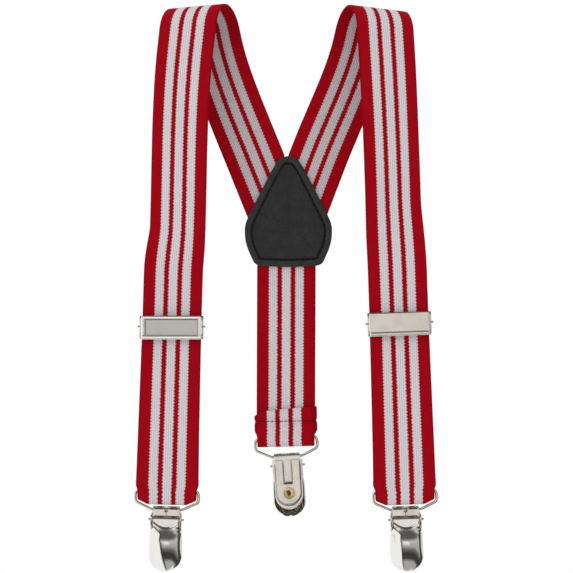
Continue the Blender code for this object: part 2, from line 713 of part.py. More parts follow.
def add_cover(name, parent):
    """Stamped cover: bevelled face, toothed lower edge turned in, two ears on the pin."""
    half = COVER_HALF
    front = COVER_FRONT - ADJ_PIN_D
    back = COVER_BACK - ADJ_PIN_D
    tooth = COVER_TOOTH_D - ADJ_PIN_D
    low = -COVER_HALF_Y - ADJ_PIN_Y
    high = COVER_HALF_Y - ADJ_PIN_Y
    profile = [(high, back), (high - 0.5, front - 0.1), (high - 1.2, front), (low + 1.2, front),
               (low + 0.4, front - 0.2), (low, front - 0.8), (low + 0.2, tooth),
               (low + 0.75, tooth), (low + 0.75, back)]
    cover = add_object(name, swap_axes(prism(profile, -half, half), PROFILE_TO_X), "nickel", parent)
    for side in (-1, 1):
        inner, outer = sorted((side * (half - 0.55), side * half))
        outline = [(-1.5, back + 0.2), (-1.1, -0.9), (1.1, -0.9), (1.5, back + 0.2)]
        ear = swap_axes(prism(outline, inner, outer), PROFILE_TO_X)
        boolean(cover, add_object(f"{name}_ear_guide_{side}", ear, "nickel", parent), "UNION")
    bore = rod((-15, 0, 0), (15, 0, 0), ADJ_BORE_R, 16)
    boolean(cover, add_object(name + "_bore_guide", bore, "nickel", parent), "DIFFERENCE")
    for k in range(COVER_TEETH):
        x = -half + (2 * half) * (k + 0.5) / COVER_TEETH
        notch = box((x - 0.7, low - 0.5, tooth - 0.2), (x + 0.7, low + 1.5, tooth + 0.4))
        boolean(cover, add_object(f"{name}_notch_guide_{k}", notch, "nickel", parent), "DIFFERENCE")


# ---------------------------------------------------------------- assembly
def add_side(label, side):
    """One shoulder strap with its adjuster and clip; SIDE -1 is left, +1 is right."""
    lay = LAYS[label]
    add_object(f"strap_{label}", strip(flip_rows(strap_rows(lay), side)), "webbing")
    bar = run_point(lay, RUN_BOTTOM_Z)
    bar_point = mirrored(bar, side)
    tilt = atan2(lay.bottom_x - lay.top_x, RUN_TOP_Z - RUN_BOTTOM_Z)
    roll = -side * tilt
    frame = chain_frame(bar_point.x, bar_point.y, bar_point.z, roll, -1)
    run_start = (run_point(lay, lay.adjuster_z) - bar).length - GAP
    rows = []
    for y in (run_start, 0.5 * run_start, BEND_TOP + GAP):
        half = HALF + (CLIP_HALF - HALF) * (1.0 - y / run_start)
        rows.append((Vector((-half, y, 0)), Vector((half, y, 0)), Vector((0, 0, 1))))
    run = strip(rows)
    bmesh.ops.transform(run, matrix=frame, verts=run.verts)
    add_object(f"strap_{label}_run", run, "webbing")
    grid = loop_grid(BEND_TOP, BEND_TOP, 0.0, -REAR_LAYER, bend_floor, 12)
    bend = shell(grid, grid_normals(grid), THICK)
    bmesh.ops.transform(bend, matrix=frame, verts=bend.verts)
    add_object(f"strap_{label}_bend", bend, "webbing")
    add_tail(f"strap_{label}_tail", frame, BEND_TOP + GAP, run_start + GAP)
    bar_frame = frame @ Matrix.Translation(Vector((0, 0, -0.5 * REAR_LAYER)))
    add_clip(label, bar_frame)
    centre = mirrored(run_point(lay, lay.adjuster_z), side)
    adjuster_tilt = 0.0 if side < 0 else roll
    add_adjuster(label, chain_frame(centre.x, centre.y, centre.z, adjuster_tilt, -1))


def add_tail(name, frame, low, adjuster_y):
    """Rear layer from the bend to the adjuster, over its lower bar and down behind it."""
    near = -1.5
    behind = -4.1
    turn_y = adjuster_y - BAR_INNER_Y + 0.3
    middle = 0.5 * (near + behind)
    radius = 0.5 * (near - behind)
    path = [(low, -REAR_LAYER), (low + 12.0, -REAR_LAYER + 0.1), (adjuster_y - 24.0, near - 0.9),
            (adjuster_y - 10.0, near - 0.1), (adjuster_y - 6.0, near)]
    for k in range(9):
        turn = pi * k / 8
        path.append((turn_y + radius * sin(turn), middle + radius * cos(turn)))
    path += [(adjuster_y - 8.0, behind - 0.1), (adjuster_y - 12.0, behind + 0.1)]
    rows = []
    count = len(path)
    for i in range(count):
        y, d = path[i]
        before = Vector(path[max(i - 1, 0)])
        after = Vector(path[min(i + 1, count - 1)])
        along = (after - before).normalized()
        half = HALF - 0.1 + (CLIP_HALF - HALF) * smooth(1.0 - i / 3)
        rows.append((Vector((-half, y, d)), Vector((half, y, d)), Vector((0, -along.y, along.x))))
    tail = strip(rows)
    bmesh.ops.transform(tail, matrix=frame, verts=tail.verts)
    add_object(name, tail, "webbing")


def add_rear():
    """Rear strap from the patch to the bail, round its bar, with the sewn hem on the body side."""
    top = Vector((CENTRE_X, LAYER_Y, JOIN_Z - GAP))
    bar = Vector((REAR_BAR.x, LAYER_Y, REAR_BAR.y))
    frame = chain_frame(bar.x, bar.y, bar.z, HEM_ROLL, 1)
    down = (bar - top).normalized()
    side = Vector((-down.z, 0, down.x))
    length = (bar - top).length - REAR_STRAIGHT_END
    rows = []
    for k in range(7):
        point = top + down * (length * k / 6)
        turn = HEM_ROLL * smooth((k - 3) / 3)
        across = Matrix.Rotation(-turn, 3, "Y") @ side * REAR_HALF
        rows.append((point - across, point + across, -FRONT_Y))
    local = []
    for k in range(11):
        turn = pi * k / 10
        local.append((-REAR_LOOP_DROP * sin(turn), REAR_LOOP_R * (cos(turn) - 1.0)))
    local += [(1.2, -2 * REAR_LOOP_R), (3.4, -2 * REAR_LOOP_R)]
    local += [(6.8, -REAR_LOOP_R - 0.15), (REAR_TAIL, -REAR_LOOP_R)]
    count = len(local)
    rotation = frame.to_3x3()
    for i in range(count):
        y, d = local[i]
        before = Vector(local[max(i - 1, 0)])
        after = Vector(local[min(i + 1, count - 1)])
        along = (after - before).normalized()
        sewn = smooth((i - 11) / 2)
        half = BEND_HALF - 0.1 + (HEM_HALF - BEND_HALF + 0.1) * sewn
        shift = HEM_SHIFT * sewn
        normal = rotation @ Vector((0, along.y, -along.x))
        rows.append((frame @ Vector((half + shift, y, d)), frame @ Vector((-half + shift, y, d)), normal))
    add_object("strap_rear", strip(rows), "webbing")
    add_clip("rear", chain_frame(bar.x, bar.y - REAR_LOOP_R, bar.z, REAR_ROLL, 1))


def add_patch():
    """Two leather faces over the junction of the three straps."""
    outline = [(x, z) for x, z in PATCH_OUTLINE] + [(-x, z) for x, z in PATCH_OUTLINE[-2:0:-1]]
    outline = [(p.x + PATCH_X, p.y) for p in rounded(outline, 2)]
    stand = Matrix(((1, 0, 0, 0), (0, 0, 1, 0), (0, 1, 0, 0), (0, 0, 0, 1)))
    inner = LAYER_Y - 0.5 * THICK - GAP
    outer = LAYER_Y + 0.5 * THICK + GAP
    for name, low in (("patch_inner", inner - PATCH_THICK), ("patch_outer", outer)):
        add_object(name, swap_axes(prism(outline, low, low + PATCH_THICK), stand), "leather")


for side_name, side_sign in (("left", -1), ("right", 1)):
    add_side(side_name, side_sign)
add_rear()
add_patch()
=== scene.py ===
"""Looks for the Y-back clip-on suspenders: woven webbing, leather patch, nickel clips and adjusters.

Lengths are in millimetres until a mesh is written in metres. The chains of bail, clip and lever, and
the straight stretches of webbing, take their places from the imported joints.
"""
import json
from collections import namedtuple
from math import cos, pi, radians, sin, sqrt, tan

import bmesh
import bpy
from mathutils import Matrix, Vector

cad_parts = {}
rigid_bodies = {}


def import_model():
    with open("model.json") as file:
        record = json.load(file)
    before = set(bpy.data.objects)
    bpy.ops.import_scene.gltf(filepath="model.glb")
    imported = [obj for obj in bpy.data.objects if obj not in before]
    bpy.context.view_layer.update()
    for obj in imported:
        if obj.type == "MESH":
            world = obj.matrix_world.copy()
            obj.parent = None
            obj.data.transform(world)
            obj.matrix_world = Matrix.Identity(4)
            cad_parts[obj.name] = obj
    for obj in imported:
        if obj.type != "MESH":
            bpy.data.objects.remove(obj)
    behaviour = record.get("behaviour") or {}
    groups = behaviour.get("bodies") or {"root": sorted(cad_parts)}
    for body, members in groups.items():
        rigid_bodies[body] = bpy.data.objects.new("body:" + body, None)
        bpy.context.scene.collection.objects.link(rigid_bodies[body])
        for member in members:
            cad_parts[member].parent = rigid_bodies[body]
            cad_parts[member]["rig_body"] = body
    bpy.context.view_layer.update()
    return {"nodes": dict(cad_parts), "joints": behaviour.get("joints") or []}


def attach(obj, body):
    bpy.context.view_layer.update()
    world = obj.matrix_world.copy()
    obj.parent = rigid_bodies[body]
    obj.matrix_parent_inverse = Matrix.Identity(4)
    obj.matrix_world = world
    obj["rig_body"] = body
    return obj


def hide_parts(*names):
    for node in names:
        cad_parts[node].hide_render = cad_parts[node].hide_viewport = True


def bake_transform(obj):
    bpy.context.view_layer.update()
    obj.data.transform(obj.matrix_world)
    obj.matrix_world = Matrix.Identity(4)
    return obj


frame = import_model()
JOINTS = {joint["name"]: joint for joint in frame["joints"]}

MM = 0.001
SIDES = (("left", -1), ("right", 1))
CLIPS = ("left", "right", "rear")
FRONT_Y = Vector((0, -1, 0))

# webbing: the same dimensions as in the CAD model
HALF = 12.25  # half of the webbing's width
CLIP_HALF = 12.95  # half of it at the front clips, where it lies slack and spreads
BEND_HALF = 12.25  # half of it where it passes between the bail's sides
REAR_HALF = 12.45  # half of the rear strap
HEM_HALF = 13.3  # half of its sewn hem
THICK = 1.2
LAYER_Y = 9.0  # front layer at -LAYER_Y, back layer at +LAYER_Y

# shoulder fold: the strap is wound obliquely over an imaginary horizontal cylinder
FOLD_R = 9.0
FOLD_LENGTH = pi * FOLD_R
FLAT_BELOW_FOLD = 8.0  # flat stretch in front, still square to the fold's axis
FLAT_BEHIND_FOLD = 3.0

# lay of each shoulder strap, both given as for the left one; the right one is mirrored
Lay = namedtuple("Lay", [
    "fold_x", "fold_z",  # centre of the fold's axis
    "turn",  # the axis is turned in plan: its outer end lies further back
    "rise",  # and rises towards the centre
    "lean",  # the strap crosses the axis at this angle
    "back_x", "back_lean",  # centre and lean of the flat stretch behind, at BACK_FLAT_Z
    "knot_x", "knot_z",  # foot of the twisted stretch in front
    "knot_slope",  # sideways step per unit of height there
    "twist",  # turn of the strap about its length over the twisted stretch
    "top_x", "bottom_x",  # ends of the straight stretch, at RUN_TOP_Z and RUN_BOTTOM_Z
    "adjuster_z"])
LAYS = {
    "left": Lay(fold_x=-38.0, fold_z=0.4, turn=radians(15.0), rise=radians(2.5), lean=radians(9.4),
                back_x=-12.5, back_lean=radians(22.0), knot_x=-44.5, knot_z=-82.0, knot_slope=-0.03,
                twist=radians(17.0), top_x=-46.3, bottom_x=-49.0, adjuster_z=-124.5),
    "right": Lay(fold_x=-39.4, fold_z=-0.4, turn=radians(14.0), rise=radians(4.5), lean=radians(8.3),
                 back_x=-13.6, back_lean=radians(20.8), knot_x=-44.8, knot_z=-70.0, knot_slope=-0.03,
                 twist=radians(17.0), top_x=-46.6, bottom_x=-49.7, adjuster_z=-123.0)}
BACK_FLAT_Z = -54.0
RUN_TOP_Z = -102.0
RUN_BOTTOM_Z = -192.1  # where the strap meets the bail's bar
UNTWIST_ABOVE = 1.5  # the strap is flat again this far above the straight stretch
REAR_LAYER = 3.4  # depth of the doubled layer behind the front layer, at the bail
BEND_TOP = 4.0  # the bend round the bail's bar ends this far above it
BEND_LENGTH = 12.0  # webbing round the bar
BEND_DROP = 5.55  # its lowest mid-surface below the bar
BEND_FLAT_HALF = 8.0  # half of its flat bottom, beside which it rises
BEND_RISE = radians(25.0)
BEND_LOW = 0.3  # it reaches up to here on both sides of the bar
NARROWS_BELOW = 2.2  # the webbing narrows below this height above the bar
NARROWS_OVER = 2.6  # over this length
TAIL_NEAR = -1.5  # depth of the tail in front of the adjuster's lower bar
TAIL_BEHIND = -4.1  # and behind it
TAIL_TURN = 2.3  # the tail turns this far below the adjuster's middle
TAIL_END = 12.0  # and ends this far below it
HEM_SHIFT = -0.2  # the rear hem is sewn this far off the strap's centre

# back junction and rear strap
CENTRE_X = 0.6  # centre of the rear strap
PATCH_X = 1.4  # centre of the patch
JOIN_Z = -88.2  # lower ends of the shoulder straps, under the patch
REAR_LOOP_R = 1.6  # depth radius of the loop round the bar
REAR_LOOP_DROP = 3.4  # and how far it hangs below the bar
REAR_TAIL = 12.0  # length of the sewn hem
REAR_STRAIGHT_END = 2.5  # the straight stretch ends this far above the bar
HEM_ROLL = radians(1.5)  # the hem hangs slightly askew
HEM_SLIP = -0.7  # the hem's stripes run this far beside the strap's
SEW_LINE = 6.9  # height of the hem's stitches above the bar
HEM_PITCH = 1.9  # length of one of its stitches
HEM_STITCHES = 13
HEM_THREAD_R = 0.13
HEM_SLANT = 0.9  # rise of the hem's cut end from its middle to one side
HEM_ROUND = 1.9  # its lower corner is rounded off by this much
HEM_ROUND_FROM = 7.5  # beyond this distance from the middle
GAP = 0.3  # clearance round the junction
ROW_STEP = 0.9  # spacing of the webbing's mesh rows
FINE_STEP = 0.4  # the same near the bail's bar

# weave
TOOTH = 1.35  # pitch of the saw-tooth along each stripe
STRIPES = (1.78, 3.80, 7.2)  # half-widths where white, red and white end
LOOP_PITCH = 0.84  # knitted columns across the webbing
RIB = 0.03  # the white stripes stand this proud
SELVAGE = 0.55  # width of the rounded edge
SECTION_COLUMNS = 29  # points across each side

# patch
PATCH_OUTLINE = [(0.0, -52.2), (2.4, -52.7), (4.0, -53.8), (6.9, -58.1), (13.1, -70.1), (16.2, -76.2),
                 (18.2, -81.0), (18.5, -85.0), (17.9, -89.4), (16.1, -94.2), (13.5, -98.2),
                 (6.6, -99.0), (0.0, -99.2)]
PATCH_MIDDLE = Vector((PATCH_X, -79.0))
SEAM_IN = 2.9  # sewn groove, in from the patch's edge
SEAM_PITCH = 2.35  # length of one stitch
SEAM_THREAD_R = 0.17

# clip
WIRE_R = 0.6
BAR_UP = 8.1  # bar above the clip's hem
BAIL_HALF = 13.2
BAIL_CORNER = 2.2
BAIL_SIDE = 1.4  # straight side between the two bends
BAIL_LEG = -63  # the leg below it slopes in at this angle, in degrees
PIN_Y = -4.0
PIN_Z = 1.3
BARREL_MID = 1.05
LEVER_SHEET = 0.5
LEVER_TIP = -25.4
LEVER_HALF = 6.6
LEVER_NECK = 5.15  # half-width of the lever between the ears
NECK_END = -6.9  # the dome rises from here down
DOME_FALLS_FROM = -13.0  # and falls towards the tip below here
DOME_NARROWS_FROM = -19.0
DOME_ROUND_FROM = -11.6  # rows crowd towards the tip below here
LEVER_COLUMNS = 40
BASE_TIP = -22.3
BASE_HALF = 6.1
BASE_SHOULDER = BASE_TIP + 7.0  # the plate narrows down to here
PLATE_Y = -1.64  # depth of the pressed face's flat part
BASE_LOW_HALF = 5.9  # half-width of the plate where its rounded end begins
BEAD_HALF = 4.8
BEAD_Y = -15.1  # centre of the bead's bowl
TONGUE_HALF = 2.2
TONGUE_Y = -11.6
EYELET_Y = -15.4

# adjuster cover's polished face
SKIN_HALF = 12.55
SKIN_LOW = -5.15
SKIN_HIGH = 4.5
SKIN_FRONT = 1.66
COVER_BORDER = 1.45  # flat border round the stamped panel
PANEL_SUNK = {"left": 0.18, "right": 0.0}

# camera
VIEW_WIDTH = 240.66  # the picture's width at the depth of VIEW_CENTRE
VIEW_DISTANCE = 700.0
VIEW_CENTRE = Vector((0.6, 0.0, -107.5))


# ---------------------------------------------------------------- node materials
class Shading:
    """A Principled material with short calls for its node maths."""

    def __init__(self, name, colour, roughness, metallic=0.0):
        self.material = bpy.data.materials.new(name)
        self.material.use_nodes = True
        self.tree = self.material.node_tree
        self.shader = self.tree.nodes["Principled BSDF"]
        self.set("Base Color", colour)
        self.set("Roughness", roughness)
        self.set("Metallic", metallic)

    def feed(self, socket, value):
        if isinstance(value, bpy.types.NodeSocket):
            self.tree.links.new(value, socket)
        elif socket.type == "RGBA":
            socket.default_value = (*value, 1.0)
        else:
            socket.default_value = value

    def node(self, kind, inputs, **settings):
        made = self.tree.nodes.new("ShaderNode" + kind)
        for key, value in settings.items():
            setattr(made, key, value)
        for key, value in inputs.items():
            self.feed(made.inputs[key], value)
        return made

    def math(self, operation, first, second=0.0, clamp=False):
        return self.node("Math", {0: first, 1: second}, operation=operation, use_clamp=clamp).outputs[0]

    def add(self, first, second):
        return self.math("ADD", first, second)

    def mul(self, first, second):
        return self.math("MULTIPLY", first, second)

    def ramp(self, value, low, high, to_low=0.0, to_high=1.0):
        inputs = {"Value": value, "From Min": low, "From Max": high, "To Min": to_low, "To Max": to_high}
        return self.node("MapRange", inputs, interpolation_type="SMOOTHSTEP").outputs["Result"]

    def mix(self, share, first, second):
        return self.node("Mix", {"Factor": share, 6: first, 7: second}, data_type="RGBA").outputs[2]

    def place(self):
        return self.node("TexCoord", {}).outputs["Object"]

    def stretched(self, scale):
        return self.node("Mapping", {"Vector": self.place(), "Scale": scale}).outputs["Vector"]

    def noise(self, scale, detail=2.0, vector=None):
        inputs = {"Scale": scale, "Detail": detail, "Vector": vector or self.place()}
        return self.node("TexNoise", inputs).outputs["Fac"]

    def split(self, vector):
        return self.node("SeparateXYZ", {0: vector}).outputs

    def bump(self, height, distance, strength):
        inputs = {"Height": height, "Distance": distance, "Strength": strength}
        self.set("Normal", self.node("Bump", inputs).outputs["Normal"])

    def set(self, socket, value):
        self.feed(self.shader.inputs[socket], value)


def webbing_material(name, pale, pale_deep, pale_fibre):
    """Red and off-white knitted stripes; the web map holds millimetres across and along the band."""
    s = Shading(name, (0.33, 0.006, 0.014), 0.85)
    web = s.node("UVMap", {}, uv_map="web").outputs["UV"]
    across, along, _ = s.split(web)
    edge = s.math("ABSOLUTE", across)
    wave = s.math("PINGPONG", s.math("DIVIDE", along, TOOTH), 0.5)
    jag = s.mul(s.math("SUBTRACT", wave, 0.25), 0.85)
    wobble = s.mul(s.math("SUBTRACT", s.noise(0.55, 1.0, web), 0.5), 0.5)
    shifted = s.add(s.add(edge, jag), wobble)
    soft = 0.22  # half-width of the blur between two stripes
    inner = s.ramp(shifted, STRIPES[0] - soft, STRIPES[0] + soft, 1.0, 0.0)
    rise = s.ramp(shifted, STRIPES[1] - soft, STRIPES[1] + soft)
    fall = s.ramp(s.math("SUBTRACT", edge, jag), STRIPES[2] - soft, STRIPES[2] + soft, 1.0, 0.0)
    white = s.math("ADD", inner, s.mul(rise, fall), clamp=True)
    # knitted columns of loops, each next column half a loop further along
    column = s.math("DIVIDE", across, LOOP_PITCH)
    odd = s.mul(s.math("MODULO", s.math("ABSOLUTE", s.math("FLOOR", column)), 2.0), 0.5)
    row = s.add(s.math("DIVIDE", along, 0.5 * TOOTH), odd)
    col_wave = s.math("ABSOLUTE", s.math("SINE", s.mul(column, pi)))
    row_wave = s.math("ABSOLUTE", s.math("SINE", s.mul(row, pi)))
    loops = s.mul(s.math("POWER", col_wave, 0.6), s.add(0.45, s.mul(row_wave, 0.55)))
    holes = s.ramp(loops, 0.12, 0.62, 1.0, 0.0)
    fibre = s.noise(6.0, 3.0, web)
    cloud = s.noise(0.22, 2.0, web)
    pale = s.mix(holes, pale, pale_deep)
    pale = s.mix(s.ramp(fibre, 0.4, 0.8, 0.0, 0.35), pale, pale_fibre)
    red = s.mix(holes, (0.345, 0.0012, 0.0070), (0.215, 0.0010, 0.0050))
    red = s.mix(s.ramp(cloud, 0.35, 0.7, 0.0, 0.3), red, (0.26, 0.0010, 0.0056))
    # painted shade: the red darkens over the last 0.9 mm towards both rounded edges
    edge_shade = s.ramp(edge, HALF - 0.9, HALF - 0.1)
    red = s.mix(s.mul(edge_shade, 0.6), red, (0.17, 0.0008, 0.0040))
    s.set("Base Color", s.mix(white, red, pale))
    height = s.add(loops, s.mul(fibre, 0.5))
    height = s.add(height, s.mul(white, 0.35))
    s.bump(height, 0.00022, 0.75)
    s.set("Roughness", s.ramp(fibre, 0.2, 0.8, 0.78, 0.95))
    s.set("Sheen Weight", 0.01)
    s.set("Sheen Roughness", 0.45)
    s.set("Specular IOR Level", 0.04)
    return s.material


def leather_material(name, colour=(0.015, 0.0155, 0.017)):
    """Fine pebbled, lightly creased leather."""
    s = Shading(name, colour, 0.5)
    inputs = {"Vector": s.place(), "Scale": 1500.0, "Smoothness": 0.5}
    pebbles = s.node("TexVoronoi", inputs, feature="SMOOTH_F1").outputs["Distance"]
    broad = s.noise(260.0, 4.0)
    fine = s.noise(4200.0, 2.0)
    lighter = tuple(1.55 * c for c in colour)
    darker = tuple(0.6 * c for c in colour)
    tone = s.mix(s.ramp(broad, 0.35, 0.7), colour, lighter)
    tone = s.mix(s.ramp(pebbles, 0.35, 0.75, 0.0, 0.55), tone, darker)
    s.set("Base Color", tone)
    grain = s.add(s.mul(pebbles, -0.8), s.mul(fine, 0.35))
    grain = s.add(grain, s.mul(broad, 0.8))
    creases = s.noise(620.0, 3.0, s.stretched((0.10, 1.0, 1.0)))
    grain = s.add(grain, s.mul(s.ramp(creases, 0.45, 0.62), -0.9))
    s.bump(grain, 0.00010, 0.55)
    s.set("Roughness", s.ramp(broad, 0.25, 0.75, 0.42, 0.62))
    s.set("Specular IOR Level", 0.3)
    return s.material


def plated_material(name, colour, roughness, worn, grain=(1.0, 1.0, 0.06)):
    """Polished plate with faint rolling lines, small pits and slightly duller handled patches."""
    s = Shading(name, colour, roughness, 1.0)
    patches = s.noise(190.0, 4.0)
    pits = s.noise(5200.0, 2.0)
    lines = s.noise(4200.0, 3.0, s.stretched(grain))
    s.set("Base Color", s.mix(s.ramp(patches, 0.45, 0.75, 0.0, 0.35), colour, worn))
    duller = s.ramp(patches, 0.35, 0.75, roughness * 0.85, roughness * 1.25)
    s.set("Roughness", s.add(duller, s.mul(s.ramp(lines, 0.5, 0.75), 0.04)))
    relief = s.add(s.mul(lines, 0.6), s.mul(pits, 0.4))
    s.bump(relief, 0.000003, 0.4)
    return s.material


def thread_material(name, colour):
    """Twisted sewing thread."""
    s = Shading(name, colour, 0.7)
    inputs = {"Scale": 900.0, "Distortion": 1.0, "Vector": s.place()}
    twist = s.node("TexWave", inputs, bands_direction="DIAGONAL").outputs["Fac"]
    bright = tuple(min(1.0, 1.8 * c) for c in colour)
    s.set("Base Color", s.mix(twist, colour, bright))
    s.bump(twist, 0.00005, 0.6)
    s.set("Specular IOR Level", 0.1)
    return s.material


def plastic_material(name):
    s = Shading(name, (0.72, 0.72, 0.70), 0.42)
    mottle = s.noise(700.0, 3.0)
    s.set("Base Color", s.mix(s.ramp(mottle, 0.4, 0.7), (0.74, 0.74, 0.72), (0.62, 0.62, 0.60)))
    s.set("Roughness", s.ramp(mottle, 0.3, 0.7, 0.34, 0.52))
    s.bump(s.noise(3500.0, 2.0), 0.00002, 0.4)
    s.set("Subsurface Weight", 0.15)
    s.set("Subsurface Scale", 0.001)
    return s.material


WEBBING = webbing_material("webbing", (0.60, 0.585, 0.605), (0.37, 0.335, 0.365), (0.70, 0.69, 0.71))
# painted shade: a darker copy of the webbing, with dimmer off-white stripes, for the strap's inner side
WEBBING_INSIDE_SHADE = webbing_material("webbing_inside_painted_shade", (0.50, 0.475, 0.49), (0.31, 0.27, 0.285),
                                  (0.58, 0.56, 0.575))
LEATHER = leather_material("leather")
LEATHER_EDGE = leather_material("leather_edge", (0.0185, 0.0205, 0.0195))
# painted shade: near-black leather for the sewn groove round the patch
LEATHER_GROOVE_SHADE = leather_material("leather_groove_painted_shade", (0.004, 0.004, 0.0042))
NICKEL = plated_material("nickel", (0.72, 0.69, 0.64), 0.16, (0.60, 0.56, 0.50))
NICKEL_BRIGHT = plated_material("nickel_bright", (0.80, 0.79, 0.77), 0.07, (0.72, 0.70, 0.67))
NICKEL_SATIN = plated_material("nickel_satin", (0.80, 0.76, 0.70), 0.24, (0.70, 0.65, 0.59))


def cover_material(name, colour, roughness, worn):
    """Plate rolled along the cover's length."""
    return plated_material(name, colour, roughness, worn, (0.06, 1.0, 1.0))


# the right cover's panel is plain nickel; the left cover's panel is a darker copy of it, painted shade
COVER_METAL_AND_SHADE = {
    "left": cover_material("nickel_cover_left_painted_shade", (0.50, 0.495, 0.475), 0.12, (0.43, 0.425, 0.41)),
    "right": cover_material("nickel_cover_right", (0.72, 0.675, 0.625), 0.20, (0.68, 0.635, 0.585))}
# the left cover's border is near-white nickel, a painted highlight; the right cover's border is its plain
# panel nickel
COVER_EDGE_AND_HIGHLIGHT = {
    "left": cover_material("nickel_edge_left_painted_highlight", (0.96, 0.945, 0.905), 0.22, (0.90, 0.885, 0.845)),
    "right": COVER_METAL_AND_SHADE["right"]}
# painted shade: dark nickel for the pressed creases of the clips' base plates
NICKEL_CREASE_SHADE = plated_material("nickel_crease_painted_shade", (0.34, 0.315, 0.265), 0.30, (0.24, 0.22, 0.18))
NICKEL_INSIDE = plated_material("nickel_inside", (0.66, 0.61, 0.50), 0.16, (0.52, 0.47, 0.37))
BRASS = plated_material("brass", (0.78, 0.62, 0.30), 0.18, (0.62, 0.46, 0.20))
BRASS_DARK = plated_material("brass_tarnished", (0.16, 0.09, 0.04), 0.45, (0.08, 0.05, 0.03))
PLASTIC = plastic_material("grip_plastic")
THREAD_BLACK = thread_material("thread_black", (0.006, 0.006, 0.0065))
THREAD_MAROON = thread_material("thread_maroon", (0.030, 0.003, 0.004))


# ---------------------------------------------------------------- mesh helpers
def smooth(x):
    x = min(max(x, 0.0), 1.0)
    return x * x * (3.0 - 2.0 * x)


def add_object(name, data):
    made = bpy.data.objects.new(name, data)
    bpy.context.scene.collection.objects.link(made)
    return made


def add_mesh(name, bm, material, sharp):
    """Smoothly shaded object from a bmesh in metres."""
    mesh = bpy.data.meshes.new(name)
    bm.to_mesh(mesh)
    bm.free()
    mesh.shade_smooth()
    mesh.set_sharp_from_angle(angle=radians(sharp))
    mesh.materials.append(material)
    return add_object(name, mesh)


def finish_mesh(name, bm, material, sharp=40.0, place=None):
    """Object from a bmesh in millimetres, in the frame PLACE."""
    if place:
        bmesh.ops.transform(bm, matrix=place, verts=bm.verts)
    bmesh.ops.recalc_face_normals(bm, faces=bm.faces)
    bmesh.ops.scale(bm, vec=(MM, MM, MM), verts=bm.verts)
    return add_mesh(name, bm, material, sharp)


def paint(made, further, pick):
    """Further materials; PICK gives a face's material number from its index."""
    for material in further:
        made.data.materials.append(material)
    for index, polygon in enumerate(made.data.polygons):
        polygon.material_index = pick(index)


def hand_over(made, body, slot, *nodes):
    """The piece moves with BODY and stands for NODES."""
    if nodes:
        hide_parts(*nodes)
    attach(made, body)


def spread(count):
    return [k / (count - 1) for k in range(count)]


def mirrored(point, side):
    return Vector((-side * point.x, point.y, point.z))


def catmull(points, steps, closed=False):
    """Smooth line through points; STEPS stretches between each pair."""
    points = [Vector(point) for point in points]
    padded = points[-1:] + points + points[:2] if closed else points[:1] + points + points[-1:]
    result = []
    for p0, p1, p2, p3 in zip(padded, padded[1:], padded[2:], padded[3:]):
        for s in range(steps):
            t = s / steps
            result.append(0.5 * (2 * p1 + (p2 - p0) * t + (2 * p0 - 5 * p1 + 4 * p2 - p3) * t * t
                                 + (3 * p1 - p0 - 3 * p2 + p3) * t ** 3))
    return result if closed else result + points[-1:]


def arc(centre, radius, start, end, steps):
    turns = [radians(start + (end - start) * k / steps) for k in range(steps + 1)]
    return [(centre[0] + radius * cos(a), centre[1] + radius * sin(a)) for a in turns]


def walk(path):
    """Each point of the path, with its direction there and its length up to there."""
    length = 0.0
    for i, point in enumerate(path):
        before, after = path[max(i - 1, 0)], path[min(i + 1, len(path) - 1)]
        length += (point - before).length
        yield point, (after - before).normalized(), length


def bridge(bm, rings):
    """Closed skin over a row of rings."""
    for a, b in zip(rings, rings[1:]):
        for k in range(len(a)):
            j = (k + 1) % len(a)
            bm.faces.new((a[k], a[j], b[j], b[k]))
    bm.faces.new(rings[0])
    bm.faces.new(rings[-1])


def sweep(bm, points, radius, sides, flat):
    """Closed round tube along POINTS, which lie in the plane with normal FLAT."""
    rings = []
    for point, along, _ in walk(points):
        side = flat.cross(along).normalized()
        ring = []
        for k in range(sides):
            turn = 2.0 * pi * k / sides
            ring.append(bm.verts.new(point + side * (radius * cos(turn)) + flat * (radius * sin(turn))))
        rings.append(ring)
    bridge(bm, rings)


def shell(bm, grid, thickness):
    """Closed sheet round a grid of mid-surface points."""
    rows, cols = len(grid), len(grid[0])
    outer, inner = [], []
    for i in range(rows):
        outer.append([])
        inner.append([])
        for j in range(cols):
            down = grid[min(i + 1, rows - 1)][j] - grid[max(i - 1, 0)][j]
            across = grid[i][min(j + 1, cols - 1)] - grid[i][max(j - 1, 0)]
            lift = across.cross(down).normalized() * (0.5 * thickness)
            outer[i].append(bm.verts.new(grid[i][j] + lift))
            inner[i].append(bm.verts.new(grid[i][j] - lift))
    for i in range(rows - 1):
        for j in range(cols - 1):
            bm.faces.new((outer[i][j], outer[i][j + 1], outer[i + 1][j + 1], outer[i + 1][j]))
            bm.faces.new((inner[i][j], inner[i + 1][j], inner[i + 1][j + 1], inner[i][j + 1]))
    rim = [(i, 0) for i in range(rows)] + [(rows - 1, j) for j in range(1, cols)]
    rim += [(i, cols - 1) for i in range(rows - 2, -1, -1)] + [(0, j) for j in range(cols - 2, 0, -1)]
    for (i, j), (k, m) in zip(rim, rim[1:] + rim[:1]):
        bm.faces.new((outer[i][j], outer[k][m], inner[k][m], inner[i][j]))


def joint_frame(name):
    """Frame on a hinge: x along its axis, z out of the clip's domed side, y up the chain."""
    joint = JOINTS[name]
    side = -Vector(joint["axis"]).normalized()
    out = -FRONT_Y if "rear" in name else FRONT_Y
    up = out.cross(side)
    made = Matrix((side, up, out)).transposed().to_4x4()
    made.translation = Vector(joint["pos_m"]) / MM
    return made


